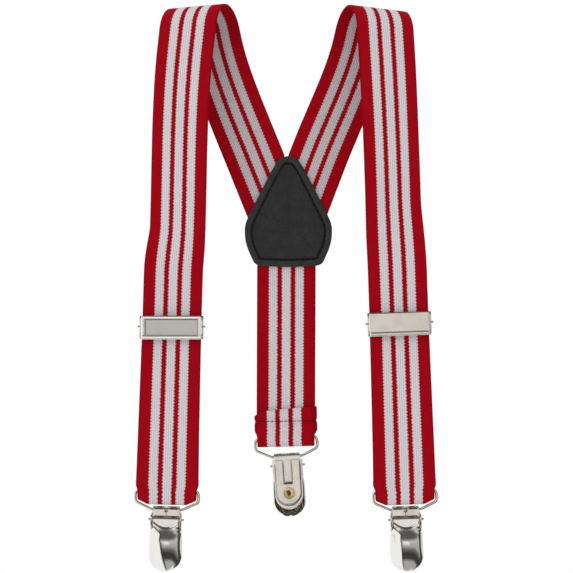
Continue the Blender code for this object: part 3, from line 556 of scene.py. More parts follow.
def refined(node, material, width, slot):
    """The CAD piece again with its hard edges rounded, as stamped and rolled metal has them."""
    source = frame["nodes"][node]
    bm = bmesh.new()
    bm.from_mesh(source.data)
    bmesh.ops.remove_doubles(bm, verts=bm.verts, dist=0.000002)
    bmesh.ops.dissolve_limit(bm, angle_limit=radians(2.0), verts=bm.verts, edges=bm.edges)
    made = add_mesh(node + "_finished", bm, material, 50.0)
    bevel = made.modifiers.new("rounded_edges", "BEVEL")
    bevel.width = width * MM
    bevel.segments = 2
    bevel.limit_method = "ANGLE"
    bevel.angle_limit = radians(32.0)
    hand_over(made, source["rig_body"], slot, node)


# ---------------------------------------------------------------- webbing
def section():
    """Cross-section of the webbing as (share of width, height): soft round selvages, low ribs."""
    top = []
    for share in spread(SECTION_COLUMNS):
        q = (HALF - SELVAGE) * (2 * share - 1)
        rib = RIB if STRIPES[1] < abs(q) < STRIPES[2] or abs(q) < STRIPES[0] else 0.0
        top.append((q, 0.5 * THICK - RIB + rib))
    edge = [(HALF - 0.22, 0.5), (HALF - 0.04, 0.26), (HALF, 0.0), (HALF - 0.04, -0.26), (HALF - 0.22, -0.5)]
    line = top + edge + [(q, -h) for q, h in top[::-1]] + [(-q, h) for q, h in edge[::-1]]
    return [((q + HALF) / (2 * HALF), h) for q, h in line]


SECTION = section()
# section points on the strap's inner side, whose faces take the painted-shade copy of the webbing
INNER_SIDE = range(len(SECTION) // 2, len(SECTION) // 2 + SECTION_COLUMNS - 1)


# a row of webbing: its surface by share of the width and height, its web map by share
Row = namedtuple("Row", ["point", "web"])


def flat_row(a, b, normal, web_a, web_b):
    """A straight row between two edge points."""
    out = normal.normalized()
    return Row(lambda share, height: a.lerp(b, share) + out * height, lambda share: web_a.lerp(web_b, share))


def bend_row(place, turn, length):
    """A row round the bail's bar: the fold's depth changes across the width."""
    radius = 0.5 * REAR_LAYER

    def point(share, height):
        x = (2 * share - 1) * BEND_HALF
        floor = bend_floor(x)
        out = Vector((0, sin(turn) / floor, cos(turn) / radius)).normalized()
        return place(Vector((x, floor * sin(turn), radius * (cos(turn) - 1.0))) + out * height)

    return Row(point, lambda share: Vector(((2 * share - 1) * HALF, length)))


def hem_row(bar, normal, half, shift, middle, length, slip):
    """A row of the rear hem; its cut end slants, with the lower corner rounded off."""
    y, d = middle
    lift = smooth((y - SEW_LINE - 0.6) / (REAR_TAIL - SEW_LINE - 0.6))

    def point(share, height):
        x = half * (1 - 2 * share)
        beyond = max(0.0, (x - HEM_ROUND_FROM) / (HEM_HALF - HEM_ROUND_FROM))
        slant = -HEM_SLANT * x / HEM_HALF - HEM_ROUND * beyond ** 2.5
        return bar @ Vector((x + shift, y + lift * slant, d)) + normal * height

    return Row(point, lambda share: Vector(((2 * share - 1) * half - slip, length)))


def band(name, rows, side=-1, inside_shade=None):
    """Closed webbing mesh through the rows, mirrored at SIDE 1; its web map is in millimetres."""
    bm = bmesh.new()
    layer = bm.loops.layers.uv.new("web")
    rings = [[bm.verts.new(mirrored(row.point(share, height), side)) for share, height in SECTION]
             for row in rows]
    maps = [row.web(share) for row in rows for share, _ in SECTION]
    bridge(bm, rings)
    bm.verts.index_update()
    for face in bm.faces:
        for loop in face.loops:
            loop[layer].uv = maps[loop.vert.index]
    made = finish_mesh(name, bm, WEBBING, 60.0)
    # painted shade: faces on the strap's inner side take the darker copy of the webbing
    if inside_shade:
        count = len(SECTION)
        ends = count * (len(rows) - 1)
        paint(made, [inside_shade], lambda index: int(index < ends and index % count in INNER_SIDE))
    return made


def fold_axes(lay):
    """The fold's axis (towards the centre), its up direction and its front direction."""
    axis = Vector((cos(lay.turn) * cos(lay.rise), -sin(lay.turn) * cos(lay.rise), sin(lay.rise)))
    up = (Vector((0, 0, 1)) - axis * axis.z).normalized()
    return axis, up, axis.cross(up)


def fold_point(lay, q, v):
    """Point and outward normal; q across the strap, v along it from the fold's front tangent."""
    axis, up, front = fold_axes(lay)
    base = Vector((lay.fold_x, 0, lay.fold_z)) + axis * (v * tan(lay.lean) + q / cos(lay.lean))
    if v <= 0.0:
        return base + up * v + front * FOLD_R, front
    if v >= FOLD_LENGTH:
        return base + up * (FOLD_LENGTH - v) - front * FOLD_R, -front
    turn = v / FOLD_R
    outward = front * cos(turn) + up * sin(turn)
    return base + outward * FOLD_R, outward


def hermite(start, start_way, end, end_way, t):
    """Cubic from START to END, leaving and arriving along the given unit directions."""
    span = (end - start).length
    return (start * (2 * t ** 3 - 3 * t ** 2 + 1) + start_way * (span * (t ** 3 - 2 * t ** 2 + t))
            + end * (3 * t ** 2 - 2 * t ** 3) + end_way * (span * (t ** 3 - t ** 2)))


def run_down(lay):
    return Vector((lay.bottom_x - lay.top_x, 0, RUN_BOTTOM_Z - RUN_TOP_Z)).normalized()


def run_point(lay, z):
    """Centre of the straight stretch in front at height z."""
    share = (z - RUN_TOP_Z) / (RUN_BOTTOM_Z - RUN_TOP_Z)
    return Vector((lay.top_x + share * (lay.bottom_x - lay.top_x), -LAYER_Y, z))


def square_to(level, down):
    """LEVEL scaled so that it spans one unit of width across a strap running DOWN."""
    return level / (level - down * level.dot(down)).length


def bend_floor(x):
    """Height of the webbing's lowest mid-surface below the bail's bar, across the width."""
    return -BEND_DROP + max(0.0, abs(x) - BEND_FLAT_HALF) * tan(BEND_RISE)


def bend_half(y):
    """Half-width at height Y above the bar: the webbing narrows to pass through the bail."""
    return CLIP_HALF - (CLIP_HALF - BEND_HALF) * smooth((NARROWS_BELOW - y) / NARROWS_OVER)


def web_row(a, b, normal, length, skew=0.0):
    """Row whose two edges lie SKEW further back and further on along the band."""
    return flat_row(a, b, normal, Vector((-HALF, length - skew)), Vector((HALF, length + skew)))


def lay_row(centre, level, way, normal, length):
    """Row through CENTRE spanned by LEVEL, on a band that runs along WAY."""
    return web_row(centre - level * HALF, centre + level * HALF, normal, length, HALF * level.dot(way))


def bend_rows(place):
    """From the rear layer, round under the bar, up to the front layer (local frame on the bar)."""
    return [bend_row(place, pi * (1 - share), BEND_TOP + BEND_LENGTH * share) for share in spread(27)]


def straight_rows(place, low, high, depth, length, half_at, step=ROW_STEP):
    """Rows between two heights above the bar; HALF_AT gives the half-width at a height."""
    count = max(2, int(abs(high - low) / step) + 1)
    rows = []
    for share in spread(count):
        y = low + (high - low) * share
        half = half_at(y)
        a, b = place(Vector((-half, y, depth))), place(Vector((half, y, depth)))
        normal = place(Vector((0, y, depth + 1.0))) - place(Vector((0, y, depth)))
        rows.append(web_row(a, b, normal, length + abs(y - low)))
    return rows


def front_rows(lay, length):
    """Rows in front, from the top of the straight stretch up to the flat below the fold."""
    axis, up, _ = fold_axes(lay)
    knot = Vector((lay.knot_x, -LAYER_Y, lay.knot_z))
    knot_way = Vector((lay.knot_slope, 0, -1)).normalized()
    top = run_point(lay, RUN_TOP_Z)
    below, _ = fold_point(lay, 0.0, -FLAT_BELOW_FOLD)
    below_way = (-up - axis * tan(lay.lean)).normalized()
    low_steps = int((knot - top).length / ROW_STEP)
    high_steps = int((below - knot).length / ROW_STEP)
    centres = [hermite(knot, knot_way, top, run_down(lay), 1 - k / low_steps) for k in range(low_steps)]
    centres += [hermite(below, below_way, knot, knot_way, 1 - k / high_steps) for k in range(high_steps)]
    rows = []
    flat_z = RUN_TOP_Z + UNTWIST_ABOVE
    for i, centre in enumerate(centres):
        before = centres[max(i - 1, 0)]
        after = centres[i + 1] if i + 1 < len(centres) else below
        length += (centre - before).length
        down = (before - after).normalized()
        side = Vector((-down.z, 0, down.x)).normalized()
        turn = lay.twist * smooth((centre.z - flat_z) / (lay.knot_z - flat_z))
        level = side * cos(turn) + FRONT_Y * sin(turn)
        level = level.lerp(axis, smooth(((i - low_steps) / high_steps - 0.35) / 0.65))
        level = square_to(level, down)
        if i:
            rows.append(lay_row(centre, level, -down, down.cross(level), length))
    return rows, length + (below - centres[-1]).length


def fold_rows(lay, length):
    whole = FOLD_LENGTH + FLAT_BELOW_FOLD + FLAT_BEHIND_FOLD
    skew = HALF * tan(lay.lean)
    rows = []
    for share in spread(int(whole / (0.7 * ROW_STEP)) + 1):
        v = whole * share
        a, normal = fold_point(lay, -HALF, v - FLAT_BELOW_FOLD)
        b, _ = fold_point(lay, HALF, v - FLAT_BELOW_FOLD)
        rows.append(web_row(a, b, normal, length + v / cos(lay.lean), skew))
    return rows, length + whole / cos(lay.lean)


def back_rows(lay, length):
    """Rows behind: the strap turns flat, then its inner edge follows the centre plane."""
    axis, up, _ = fold_axes(lay)
    start, _ = fold_point(lay, 0.0, FOLD_LENGTH + FLAT_BEHIND_FOLD)
    start_way = (-up + axis * tan(lay.lean)).normalized()
    end = Vector((lay.back_x, LAYER_Y, BACK_FLAT_Z))
    end_way = Vector((sin(lay.back_lean), 0, -cos(lay.back_lean)))
    side = Vector((cos(lay.back_lean), 0, sin(lay.back_lean)))
    steps = int((end - start).length / ROW_STEP)
    rows = []
    before = start
    for k in range(1, steps + 1):
        centre = hermite(start, start_way, end, end_way, k / steps)
        down = (centre - before).normalized()
        length += (centre - before).length
        before = centre
        level = square_to(axis.lerp(side, smooth(k / steps)), down)
        rows.append(lay_row(centre, level, down, level.cross(down), length))
    outer, inner = end - side * HALF, end + side * HALF
    rows[-1] = lay_row(end, side, end_way, -FRONT_Y, length)
    reach = (-GAP - inner.x) / end_way.x
    mid_outer, meet = outer + end_way * reach, inner + end_way * reach
    bottom_outer = outer + end_way * ((outer.z - JOIN_Z) / -end_way.z)
    bottom_inner = Vector((-GAP, LAYER_Y, JOIN_Z))

    def web(point):
        return Vector(((point - end).dot(side), length + (point - end).dot(end_way)))

    for a0, a1, b0, b1 in ((outer, mid_outer, inner, meet), (mid_outer, bottom_outer, meet, bottom_inner)):
        steps = max(2, int((a1 - a0).length / ROW_STEP))
        for k in range(1, steps + 1):
            a = a0.lerp(a1, k / steps)
            b = b0.lerp(b1, k / steps)
            rows.append(flat_row(a, b, -FRONT_Y, web(a), web(b)))
    return rows


def shoulder_rows(lay, length):
    """From the top of the straight run, up over the shoulder and down to the patch."""
    rows, length = front_rows(lay, length)
    over, length = fold_rows(lay, length)
    return rows + over + back_rows(lay, length)


def shoulder_strap(label, side):
    """Webbing from the patch, over the shoulder, down to and round the bail; and its rear tail."""
    lay = LAYS[label]
    bar = joint_frame(f"bail_{label}_hinge") @ Matrix.Translation(Vector((0, 0, 0.5 * REAR_LAYER)))

    def place(local):
        return mirrored(bar @ Vector((-side * local.x, local.y, local.z)), side)

    def world(y):
        return tuple(mirrored(place(Vector((0, y, 0))), side) * MM)

    run_length = (run_point(lay, RUN_TOP_Z) - run_point(lay, RUN_BOTTOM_Z)).length
    adjuster_y = (run_point(lay, lay.adjuster_z) - run_point(lay, RUN_BOTTOM_Z)).length

    def run_half(y):
        return HALF + (CLIP_HALF - HALF) * min(1.0, max(0.0, 1.0 - y / adjuster_y))

    start = BEND_TOP + BEND_LENGTH
    rows = straight_rows(place, BEND_TOP, BEND_LOW, -REAR_LAYER, 0.0, bend_half, FINE_STEP)
    rows += bend_rows(place)
    rows += straight_rows(place, BEND_LOW, BEND_TOP, 0.0, start + BEND_LOW, bend_half, FINE_STEP)
    rows += straight_rows(place, BEND_TOP + ROW_STEP, run_length, 0.0, start + BEND_TOP + ROW_STEP, run_half)
    rows += shoulder_rows(lay, start + run_length)
    strap = band(f"strap_{label}_webbing", rows, side, WEBBING_INSIDE_SHADE)
    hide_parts(f"strap_{label}", f"strap_{label}_run", f"strap_{label}_bend")
    world(run_length)
    world(BEND_TOP)
    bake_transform(strap)
    length = rows[-1].web(0).y
    tail = tail_band(label, side, place, adjuster_y)
    reach = adjuster_y - TAIL_END
    world(2 * BEND_TOP - reach)
    world(reach)
    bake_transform(tail)


def tail_band(label, side, place, adjuster_y):
    """Rear layer up to the adjuster, over its lower bar and down behind it."""
    turn_y = adjuster_y - TAIL_TURN
    up = [(BEND_TOP + 0.05, -REAR_LAYER), (BEND_TOP + 12.0, -REAR_LAYER + 0.1),
          (adjuster_y - 24.0, TAIL_NEAR - 0.9), (adjuster_y - 10.0, TAIL_NEAR - 0.1),
          (adjuster_y - 6.0, TAIL_NEAR)]
    over = arc((turn_y, 0.5 * (TAIL_NEAR + TAIL_BEHIND)), 0.5 * (TAIL_NEAR - TAIL_BEHIND), 90, -90, 14)
    down = [(turn_y - 1.5, TAIL_BEHIND - 0.02), (adjuster_y - 8.0, TAIL_BEHIND - 0.1),
            (adjuster_y - TAIL_END, TAIL_BEHIND + 0.1)]
    path = catmull(up, 14) + [Vector(p) for p in over] + catmull(down, 6)
    rows = []
    for i, ((y, d), along, length) in enumerate(walk(path)):
        half = HALF - 0.1 + (CLIP_HALF - HALF) * smooth(1.0 - i / 40)
        a = place(Vector((-half, y, d)))
        b = place(Vector((half, y, d)))
        normal = place(Vector((0, y - along.y, d + along.x))) - place(Vector((0, y, d)))
        rows.append(web_row(a, b, normal, -length))
    tail = band(f"strap_{label}_tail_webbing", rows, side)
    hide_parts(f"strap_{label}_tail")
    return tail


def rear_strap():
    """From under the patch down to the rear bail, round its bar and up its sewn hem."""
    top = Vector((CENTRE_X, LAYER_Y, JOIN_Z - GAP))
    foot = (joint_frame("bail_rear_hinge") @ Matrix.Translation(Vector((0, 0, REAR_LOOP_R)))).translation
    bar = Matrix.Translation(foot) @ Matrix(((-cos(HEM_ROLL), -sin(HEM_ROLL), 0, 0), (0, 0, 1, 0),
                                             (-sin(HEM_ROLL), cos(HEM_ROLL), 0, 0), (0, 0, 0, 1)))
    down = (foot - top).normalized()
    side = Vector((-down.z, 0, down.x))
    length = (foot - top).length - REAR_STRAIGHT_END
    rows = []
    for share in spread(int(length / ROW_STEP) + 1):
        point = top + down * (length * share)
        turn = HEM_ROLL * smooth(2.0 * share - 1.0)
        across = REAR_HALF * (side * cos(turn) + Vector((-side.z, 0, side.x)) * sin(turn))
        rows.append(web_row(point - across, point + across, -FRONT_Y, length * share))
    turns = 24
    path = [Vector((-REAR_LOOP_DROP * sin(pi * share), REAR_LOOP_R * (cos(pi * share) - 1.0)))
            for share in spread(turns + 1)]
    path += catmull([(0.4, -2 * REAR_LOOP_R), (1.2, -2 * REAR_LOOP_R), (3.4, -2 * REAR_LOOP_R - 0.1),
                     (5.4, -REAR_LOOP_R - 0.5), (SEW_LINE, -REAR_LOOP_R), (8.6, -REAR_LOOP_R - 0.2),
                     (REAR_TAIL, -REAR_LOOP_R - 0.3)], 8)
    rotation = bar.to_3x3()
    for i, ((y, d), along, further) in enumerate(walk(path)):
        sewn = smooth((y - 0.4) / 3.0) if i > turns else 0.0
        pinch = 0.35 * max(0.0, 1.0 - abs(y - SEW_LINE) / 1.2) if i > turns else 0.0
        half = BEND_HALF - 0.1 + (HEM_HALF - BEND_HALF + 0.1) * sewn - pinch
        shift = HEM_SHIFT * sewn
        slip = HEM_SLIP * smooth((i - 0.3 * turns) / (0.5 * turns))
        normal = rotation @ Vector((0, along.y, -along.x))
        rows.append(hem_row(bar, normal, half, shift, (y, d), length + further, slip))
    length += further
    strap = band("strap_rear_webbing", rows)
    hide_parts("strap_rear")
    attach(strap, "webbing")
    hem_stitches(bar)


def hem_stitches(bar):
    """One sewn line through the hem and the strap behind it."""
    for name, depth, out in (("rear_hem_stitches_inside", -REAR_LOOP_R - 0.66, -1),
                             ("rear_hem_stitches_outside", 0.62, 1)):
        bm = bmesh.new()
        for k in range(HEM_STITCHES):
            x = (k - HEM_STITCHES // 2) * HEM_PITCH + HEM_SHIFT
            points = []
            for t in spread(7):
                lift = 0.16 * sin(pi * t) - 0.10
                points.append(Vector((x + (t - 0.5) * 1.6, SEW_LINE + 0.012 * x, depth + out * lift)))
            sweep(bm, points, HEM_THREAD_R, 8, Vector((0, 1, 0)))
        hand_over(finish_mesh(name, bm, THREAD_MAROON, place=bar), "webbing", "webbing")


# ---------------------------------------------------------------- patch
def patch_line():
    outline = PATCH_OUTLINE + [(-x, z) for x, z in PATCH_OUTLINE[-2:0:-1]]
    return [Vector((p.x + PATCH_X, p.y)) for p in catmull(outline, 8, closed=True)]


def inset_line(line, distance):
    """The outline moved inwards by DISTANCE."""
    result = []
    for before, point, after in zip(line[-1:] + line, line, line[1:] + line[:1]):
        along = (after - before).normalized()
        inward = Vector((-along.y, along.x))
        if inward.dot(PATCH_MIDDLE - point) < 0:
            inward = -inward
        result.append(point + inward * distance)
    return result


def patch_face(name, node, back_y, out):
    """One leather face: rounded cut edge, sewn groove, slightly domed centre."""
    line = patch_line()
    edge = [(0.0, 0.10), (0.0, 0.75), (0.06, 1.0), (0.2, 1.18), (0.45, 1.28), (0.9, 1.33), (1.6, 1.36),
            (2.2, 1.33)]
    groove = [(2.5, 1.2), (SEAM_IN, 1.02), (3.3, 1.2)]
    rings = [(inset_line(line, distance), height) for distance, height in edge + groove + [(3.6, 1.33)]]
    start = inset_line(line, 4.3)
    for share in spread(13)[:-1]:
        rings.append(([p.lerp(PATCH_MIDDLE, share) for p in start], 1.42 + 0.28 * (1 - (1 - share) ** 2)))
    bm = bmesh.new()
    bridge(bm, [[bm.verts.new((p.x, back_y + out * height, p.y)) for p in ring] for ring, height in rings])
    count = len(line)
    made = finish_mesh(name, bm, LEATHER, 75.0)
    # the cut edge takes the edge leather; the sewn groove takes the near-black leather, painted shade
    edge_finish_and_groove_shade = [1] * len(edge) + [2] * len(groove)
    paint(made, [LEATHER_EDGE, LEATHER_GROOVE_SHADE],
          lambda index: edge_finish_and_groove_shade[index // count] if index // count < len(edge_finish_and_groove_shade) else 0)
    hand_over(made, "webbing", "leather", node)
    hand_over(patch_stitches(name + "_stitches", line, back_y + out * 1.06, out), "webbing", "leather")


def patch_stitches(name, line, y, out):
    """Short threads lying in the groove."""
    seam = [Vector((p.x, 0, p.y)) for p in inset_line(line, SEAM_IN)]
    seam.append(seam[0])
    total = sum((b - a).length for a, b in zip(seam, seam[1:]))
    count = int(total / SEAM_PITCH)
    pitch = total / count

    def at(distance):
        for a, b in zip(seam, seam[1:]):
            step = (b - a).length
            if distance <= step:
                return a.lerp(b, distance / max(step, 1e-9))
            distance -= step
        return seam[-1]

    bm = bmesh.new()
    for k in range(count):
        points = []
        for t in spread(7):
            p = at((k + 0.12 + 0.76 * t) * pitch % total)
            points.append(Vector((p.x, y + out * (0.30 * sin(pi * t) - 0.12), p.z)))
        along = (points[-1] - points[0]).normalized()
        flat = along.cross(Vector((0, 1, 0))).normalized()
        sweep(bm, points, SEAM_THREAD_R, 8, flat)
    return finish_mesh(name, bm, THREAD_BLACK)


# ---------------------------------------------------------------- clips
def bail(label):
    """Round wire with smoothly bent corners."""
    corner_x = BAIL_HALF - BAIL_CORNER
    half = [(0.0, 0.0), (5.0, 0.0)]
    half += arc((corner_x, -BAIL_CORNER), BAIL_CORNER, 90, 0, 12)
    half += arc((corner_x, -BAIL_CORNER - BAIL_SIDE), BAIL_CORNER, 0, BAIL_LEG, 8)
    half += [(7.2, 0.35 - BAR_UP), (6.5, 0.08 - BAR_UP), (5.6, -BAR_UP), (3.4, -BAR_UP), (1.2, -BAR_UP)]
    points = [Vector((-x, y, 0)) for x, y in half[:0:-1]] + [Vector((x, y, 0)) for x, y in half]
    bm = bmesh.new()
    sweep(bm, points, WIRE_R, 20, Vector((0, 0, 1)))
    place = joint_frame(f"bail_{label}_hinge")
    made = finish_mesh(f"bail_{label}_wire", bm, NICKEL, 50.0, place)
    hand_over(made, f"bail_{label}", "nickel", f"bail_{label}")


def edge_crowded(steps):
    """Places from -1 to 1 that crowd towards both ends."""
    return [sin(radians(-90.0 + 180.0 * k / steps)) for k in range(steps + 1)]


def lever_height(x, y):
    """Height of the lever's mid-surface above the wire's plane, below its barrel."""
    front = PIN_Z + BARREL_MID
    depth = NECK_END - y
    crease = depth + min(2.2 * (x / 4.9) ** 2, 2.2)  # its creased start lies higher at the sides
    crown = 2.45 * smooth(depth / 6.2) + 0.5 * smooth(crease / 1.1)
    far = max(0.0, (DOME_FALLS_FROM - y) / (DOME_FALLS_FROM - LEVER_TIP))
    across = 0.028 * x * x * smooth(depth / 3.0)
    return front + crown - across - 4.3 * far ** 2.0


def lever(label):
    """Domed jaw: rolled round the pin, a flat neck between the ears, then a polished dome."""
    grid = [[Vector((t * LEVER_NECK, y, z)) for t in edge_crowded(LEVER_COLUMNS)]
            for y, z in arc((PIN_Y, PIN_Z), BARREL_MID, -130, 90, 16)]
    rows = []
    for k in range(1, 46):
        y = -4.3 - 0.16 * k
        half = LEVER_NECK + 1.0 * smooth((-6.6 - y) / 2.4) + 0.38 * smooth((-9.0 - y) / 2.5)
        rows.append((y, half, 0.5 * smooth((-6.6 - y) / 1.6) + 4.2 * smooth((-7.9 - y) / 3.2)))
    for share in spread(35):
        y = DOME_ROUND_FROM + (LEVER_TIP - DOME_ROUND_FROM) * sin(radians(87.0 * share))
        shrink = max(0.0, (DOME_NARROWS_FROM - y) / (DOME_NARROWS_FROM - LEVER_TIP))
        half = (LEVER_HALF - 0.07 * (1 - smooth((-11.0 - y) / 2.0))) * sqrt(max(0.012, 1.0 - shrink * shrink))
        rows.append((y, half, 4.7))
    for y, half, drop in rows:
        grid.append([])
        for t in edge_crowded(LEVER_COLUMNS):
            height = lever_height(t * half, y)
            skirt = min(drop, max(0.0, height - 0.35)) * abs(t) ** 5.0 * (half / LEVER_HALF) ** 0.5
            grid[-1].append(Vector((t * half, y, height - skirt)))
    bm = bmesh.new()
    shell(bm, grid, LEVER_SHEET)
    place = joint_frame(f"lever_{label}_hinge") @ Matrix.Translation(Vector((0, -PIN_Y, -PIN_Z)))
    made = finish_mesh(f"lever_{label}_jaw", bm, NICKEL_BRIGHT, 50.0, place)
    sheet_faces = 2 * (len(grid) - 1) * LEVER_COLUMNS
    paint(made, [NICKEL_INSIDE], lambda index: int(index < sheet_faces and index % 2 == 0))
    hand_over(made, f"lever_{label}", "nickel", f"lever_{label}")


def plate_half(y):
    """Half-width of the base plate's outline at height y."""
    if y > BASE_SHOULDER:
        return BASE_LOW_HALF + (BASE_HALF - BASE_LOW_HALF) * (y - BASE_SHOULDER) / (-1.0 - BASE_SHOULDER)
    reach = min(1.0, max(0.0, (BASE_TIP - y) / BASE_LOW_HALF + 1.0))
    return BASE_LOW_HALF * sqrt(max(0.01, 1.0 - reach * reach))


def plate_edges(x, y):
    """Distance outside the raised U round the eyelet, and inside the sunk tongue in its middle."""
    outside = (abs(x) if y > BEAD_Y else Vector((x, y - BEAD_Y)).length) - BEAD_HALF
    return outside, min(TONGUE_HALF - abs(x), y - TONGUE_Y)


def plate_relief(x, y):
    """Pressed relief of the plate: the raised U, the sunk tongue and the creases along both."""
    outside, tongue = plate_edges(x, y)
    raised = smooth(1.0 - outside / 0.55) * smooth(1.0 - tongue / 0.5)
    crease = max(0.0, 1.0 - abs(outside - 0.75) / 0.4) + max(0.0, 1.0 - abs(tongue - 0.6) / 0.35)
    return 0.5 * raised - 0.18 * crease


# faces along the pressed creases, which take the painted shade
def in_crease(point):
    outside, tongue = plate_edges(point.x, point.y)
    return point.y < -3.0 and (abs(outside - 0.5) < 0.26 or abs(tongue - 0.4) < 0.22)


def plate_face(label):
    """Pressed outer face of the clip's base plate."""
    grid = []
    for share in spread(131):
        y = -1.6 + (BASE_TIP + 1.55) * sin(0.5 * pi * share) ** 1.4
        half = plate_half(y)
        grid.append([])
        for t in edge_crowded(84):
            border = min(half * (1.0 - abs(t)), y - BASE_TIP)
            z = PLATE_Y - plate_relief(t * half, y) + 0.5 * (1 - smooth(border / 0.55))
            grid[-1].append(Vector((t * half, y, z)))
    bm = bmesh.new()
    shell(bm, grid, 0.12)
    # painted shade: faces along the pressed creases take the dark nickel
    crease_shade = [int(in_crease(face.calc_center_median())) for face in bm.faces]
    place = joint_frame(f"clip_{label}_hinge")
    made = finish_mesh(f"base_face_{label}", bm, NICKEL_SATIN, 60.0, place)
    paint(made, [NICKEL_CREASE_SHADE], lambda index: crease_shade[index])
    hand_over(made, f"clip_{label}", "nickel")


def eyelet_core(label):
    """Closed inner end of the hollow rivet."""
    bm = bmesh.new()
    bmesh.ops.create_cone(bm, cap_ends=True, segments=24, radius1=0.9, radius2=0.9, depth=0.3)
    bmesh.ops.translate(bm, vec=(0.0, EYELET_Y, -2.12), verts=bm.verts)
    place = joint_frame(f"clip_{label}_hinge")
    hand_over(finish_mesh(f"eyelet_core_{label}", bm, BRASS_DARK, 50.0, place), f"clip_{label}", "brass")


def clip(label):
    bail(label)
    lever(label)
    refined(f"base_plate_{label}", NICKEL_SATIN, 0.10, "nickel")
    refined(f"hinge_pin_{label}", NICKEL, 0.12, "nickel")
    refined(f"grip_pad_{label}", PLASTIC, 0.08, "plastic")
    refined(f"eyelet_{label}", BRASS, 0.08, "brass")
    plate_face(label)
    eyelet_core(label)


# ---------------------------------------------------------------- adjusters
def cover_edge(x, y, half):
    """Distance inside the cover's outline."""
    return min(half - abs(x), SKIN_HIGH - y, y - SKIN_LOW)


def cover_height(x, y, half, sunk):
    """Stamped cover: a border with a soft edge, a creased line and a panel sunk a little."""
    edge = cover_edge(x, y, half)
    inset = edge - COVER_BORDER
    height = SKIN_FRONT - 0.3 * (1 - smooth(edge / 0.35)) - 0.5 * sunk * smooth((inset + 0.15) / 0.3)
    height -= sunk * max(0.0, 1.0 - abs(inset) / 0.26)
    line = max(0.0, 1.0 - abs(y - SKIN_LOW - COVER_BORDER) / 0.26)
    return height - 0.26 * line * smooth((half - abs(x)) / 2.0)


def cover_skin(label):
    """Polished stamped face on the cover."""
    grid = []
    for share in spread(81):
        y = SKIN_HIGH + (SKIN_LOW - SKIN_HIGH) * share
        corner = max(0.0, 1.1 - (SKIN_HIGH - y)) ** 2 + max(0.0, 0.8 - (y - SKIN_LOW)) ** 2
        half = SKIN_HALF - 0.45 * corner
        grid.append([Vector((t * half, y, cover_height(t * half, y, half, PANEL_SUNK[label])))
                     for t in edge_crowded(56)])
    bm = bmesh.new()
    shell(bm, grid, 0.14)
    panel = []
    for face in bm.faces:
        edge = min(cover_edge(corner.co.x, corner.co.y, SKIN_HALF) for corner in face.verts)
        panel.append(int(edge > COVER_BORDER - 0.2))
    place = joint_frame(f"adjuster_cover_{label}_hinge")
    # painted light on the left cover: a highlight on its border and shade on its panel
    made = finish_mesh(f"adjuster_face_{label}", bm, COVER_EDGE_AND_HIGHLIGHT[label], 60.0, place)
    paint(made, [COVER_METAL_AND_SHADE[label]], lambda index: panel[index])
    hand_over(made, f"adjuster_cover_{label}", "nickel")


def adjuster(label):
    refined(f"adjuster_frame_{label}", NICKEL, 0.08, "nickel")
    refined(f"adjuster_cover_{label}", NICKEL_SATIN, 0.08, "nickel")
    refined(f"adjuster_pin_{label}", NICKEL, 0.08, "nickel")
    cover_skin(label)


# ---------------------------------------------------------------- studio
def studio():
    scene = bpy.context.scene
    scene.view_settings.view_transform = "Standard"
    scene.world = studio_world()
    lamp("key", (-0.9, -1.1, 0.9), 1.1, 6.0)
    camera = add_object("camera", bpy.data.cameras.new("camera"))
    camera.location = (VIEW_CENTRE + VIEW_DISTANCE * FRONT_Y) * MM
    camera.rotation_euler = (radians(90.0), 0.0, 0.0)
    camera.data.lens = camera.data.sensor_width * VIEW_DISTANCE / VIEW_WIDTH
    camera.data.clip_start = 0.01
    scene.camera = camera


class WorldShading(Shading):
    """The same short calls on the world's node tree."""

    def __init__(self, world):
        self.tree = world.node_tree


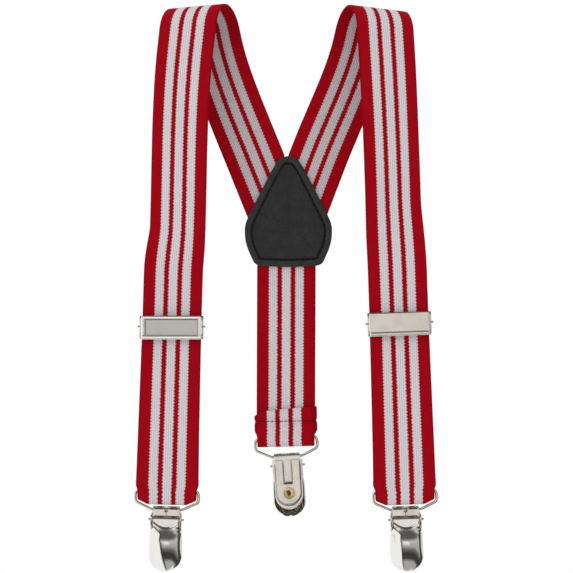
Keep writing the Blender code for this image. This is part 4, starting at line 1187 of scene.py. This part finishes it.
def studio_world():
    """White all round; polished metal also mirrors a soft box at the left and flags at the right."""
    world = bpy.data.worlds.new("studio")
    world.use_nodes = True
    s = WorldShading(world)
    right, back, up = s.split(s.node("TexCoord", {}).outputs["Generated"])
    angle = s.mul(s.math("ARCTAN2", right, s.mul(back, -1.0)), 180.0 / pi)
    swept = s.add(angle, s.mul(up, 9.0))
    ramp = s.node("ValToRGB", {"Fac": s.mul(s.add(up, 1.0), 0.5)})
    levels = ((-1.0, 0.48), (-0.84, 0.44), (-0.76, 0.06), (-0.60, 0.04), (-0.44, 0.16), (-0.30, 0.46),
              (0.16, 0.62), (0.36, 0.42), (0.62, 0.14), (1.0, 0.07))
    elements = ramp.color_ramp.elements
    while len(elements) < len(levels):
        elements.new(0.5)
    for element, (place, level) in zip(elements, levels):
        element.position = 0.5 * (place + 1.0)
        element.color = (level, 0.985 * level, 0.955 * level, 1.0)
    room = ramp.outputs["Color"]
    tilt = s.math("ABSOLUTE", up)
    flat_on = s.mul(s.ramp(swept, -12.0, -6.0), s.ramp(swept, 5.0, 13.0, 1.0, 0.0))
    flat_on = s.mul(flat_on, s.ramp(tilt, 0.12, 0.34, 1.0, 0.0))
    room = s.mix(flat_on, room, (0.93, 0.905, 0.865))
    level = s.ramp(up, 0.80, 0.92, 1.0, 0.0)
    for bounds, colour in (((-19.0, -14.0, 1.0, 0.0), (0.03, 0.03, 0.03)),
                           ((-26.0, -21.0, 1.0, 0.0), (1.05, 1.05, 1.04)),
                           ((92.0, 104.0), (0.05, 0.05, 0.05)),
                           ((118.0, 126.0), (0.80, 0.79, 0.77))):
        room = s.mix(s.mul(s.ramp(swept, *bounds), level), room, colour)
    glossy = s.node("LightPath", {}).outputs["Is Glossy Ray"]
    s.feed(s.tree.nodes["Background"].inputs["Color"], s.mix(glossy, (1.0, 1.0, 1.0), room))
    return world


def lamp(name, place, size, power):
    data = bpy.data.lights.new(name, "AREA")
    data.size = size
    data.energy = power
    made = add_object(name, data)
    made.location = place
    made.visible_glossy = False
    aim = Vector((0, 0, -0.11)) - Vector(place)
    made.rotation_euler = aim.to_track_quat("-Z", "Y").to_euler()


def floor():
    """Pale floor far below the hanging set."""
    bm = bmesh.new()
    bmesh.ops.create_grid(bm, x_segments=1, y_segments=1, size=300.0)
    bmesh.ops.translate(bm, vec=(0, 150.0, -900.0), verts=bm.verts)
    finish_mesh("floor", bm, Shading("pale_floor", (0.93, 0.93, 0.93), 0.9).material)


for strap_label, strap_side in SIDES:
    shoulder_strap(strap_label, strap_side)
    adjuster(strap_label)
rear_strap()
patch_face("patch_inner_leather", "patch_inner", LAYER_Y - 0.5 * THICK - GAP, -1)
patch_face("patch_outer_leather", "patch_outer", LAYER_Y + 0.5 * THICK + GAP, 1)
for clip_label in CLIPS:
    clip(clip_label)
floor()
studio()
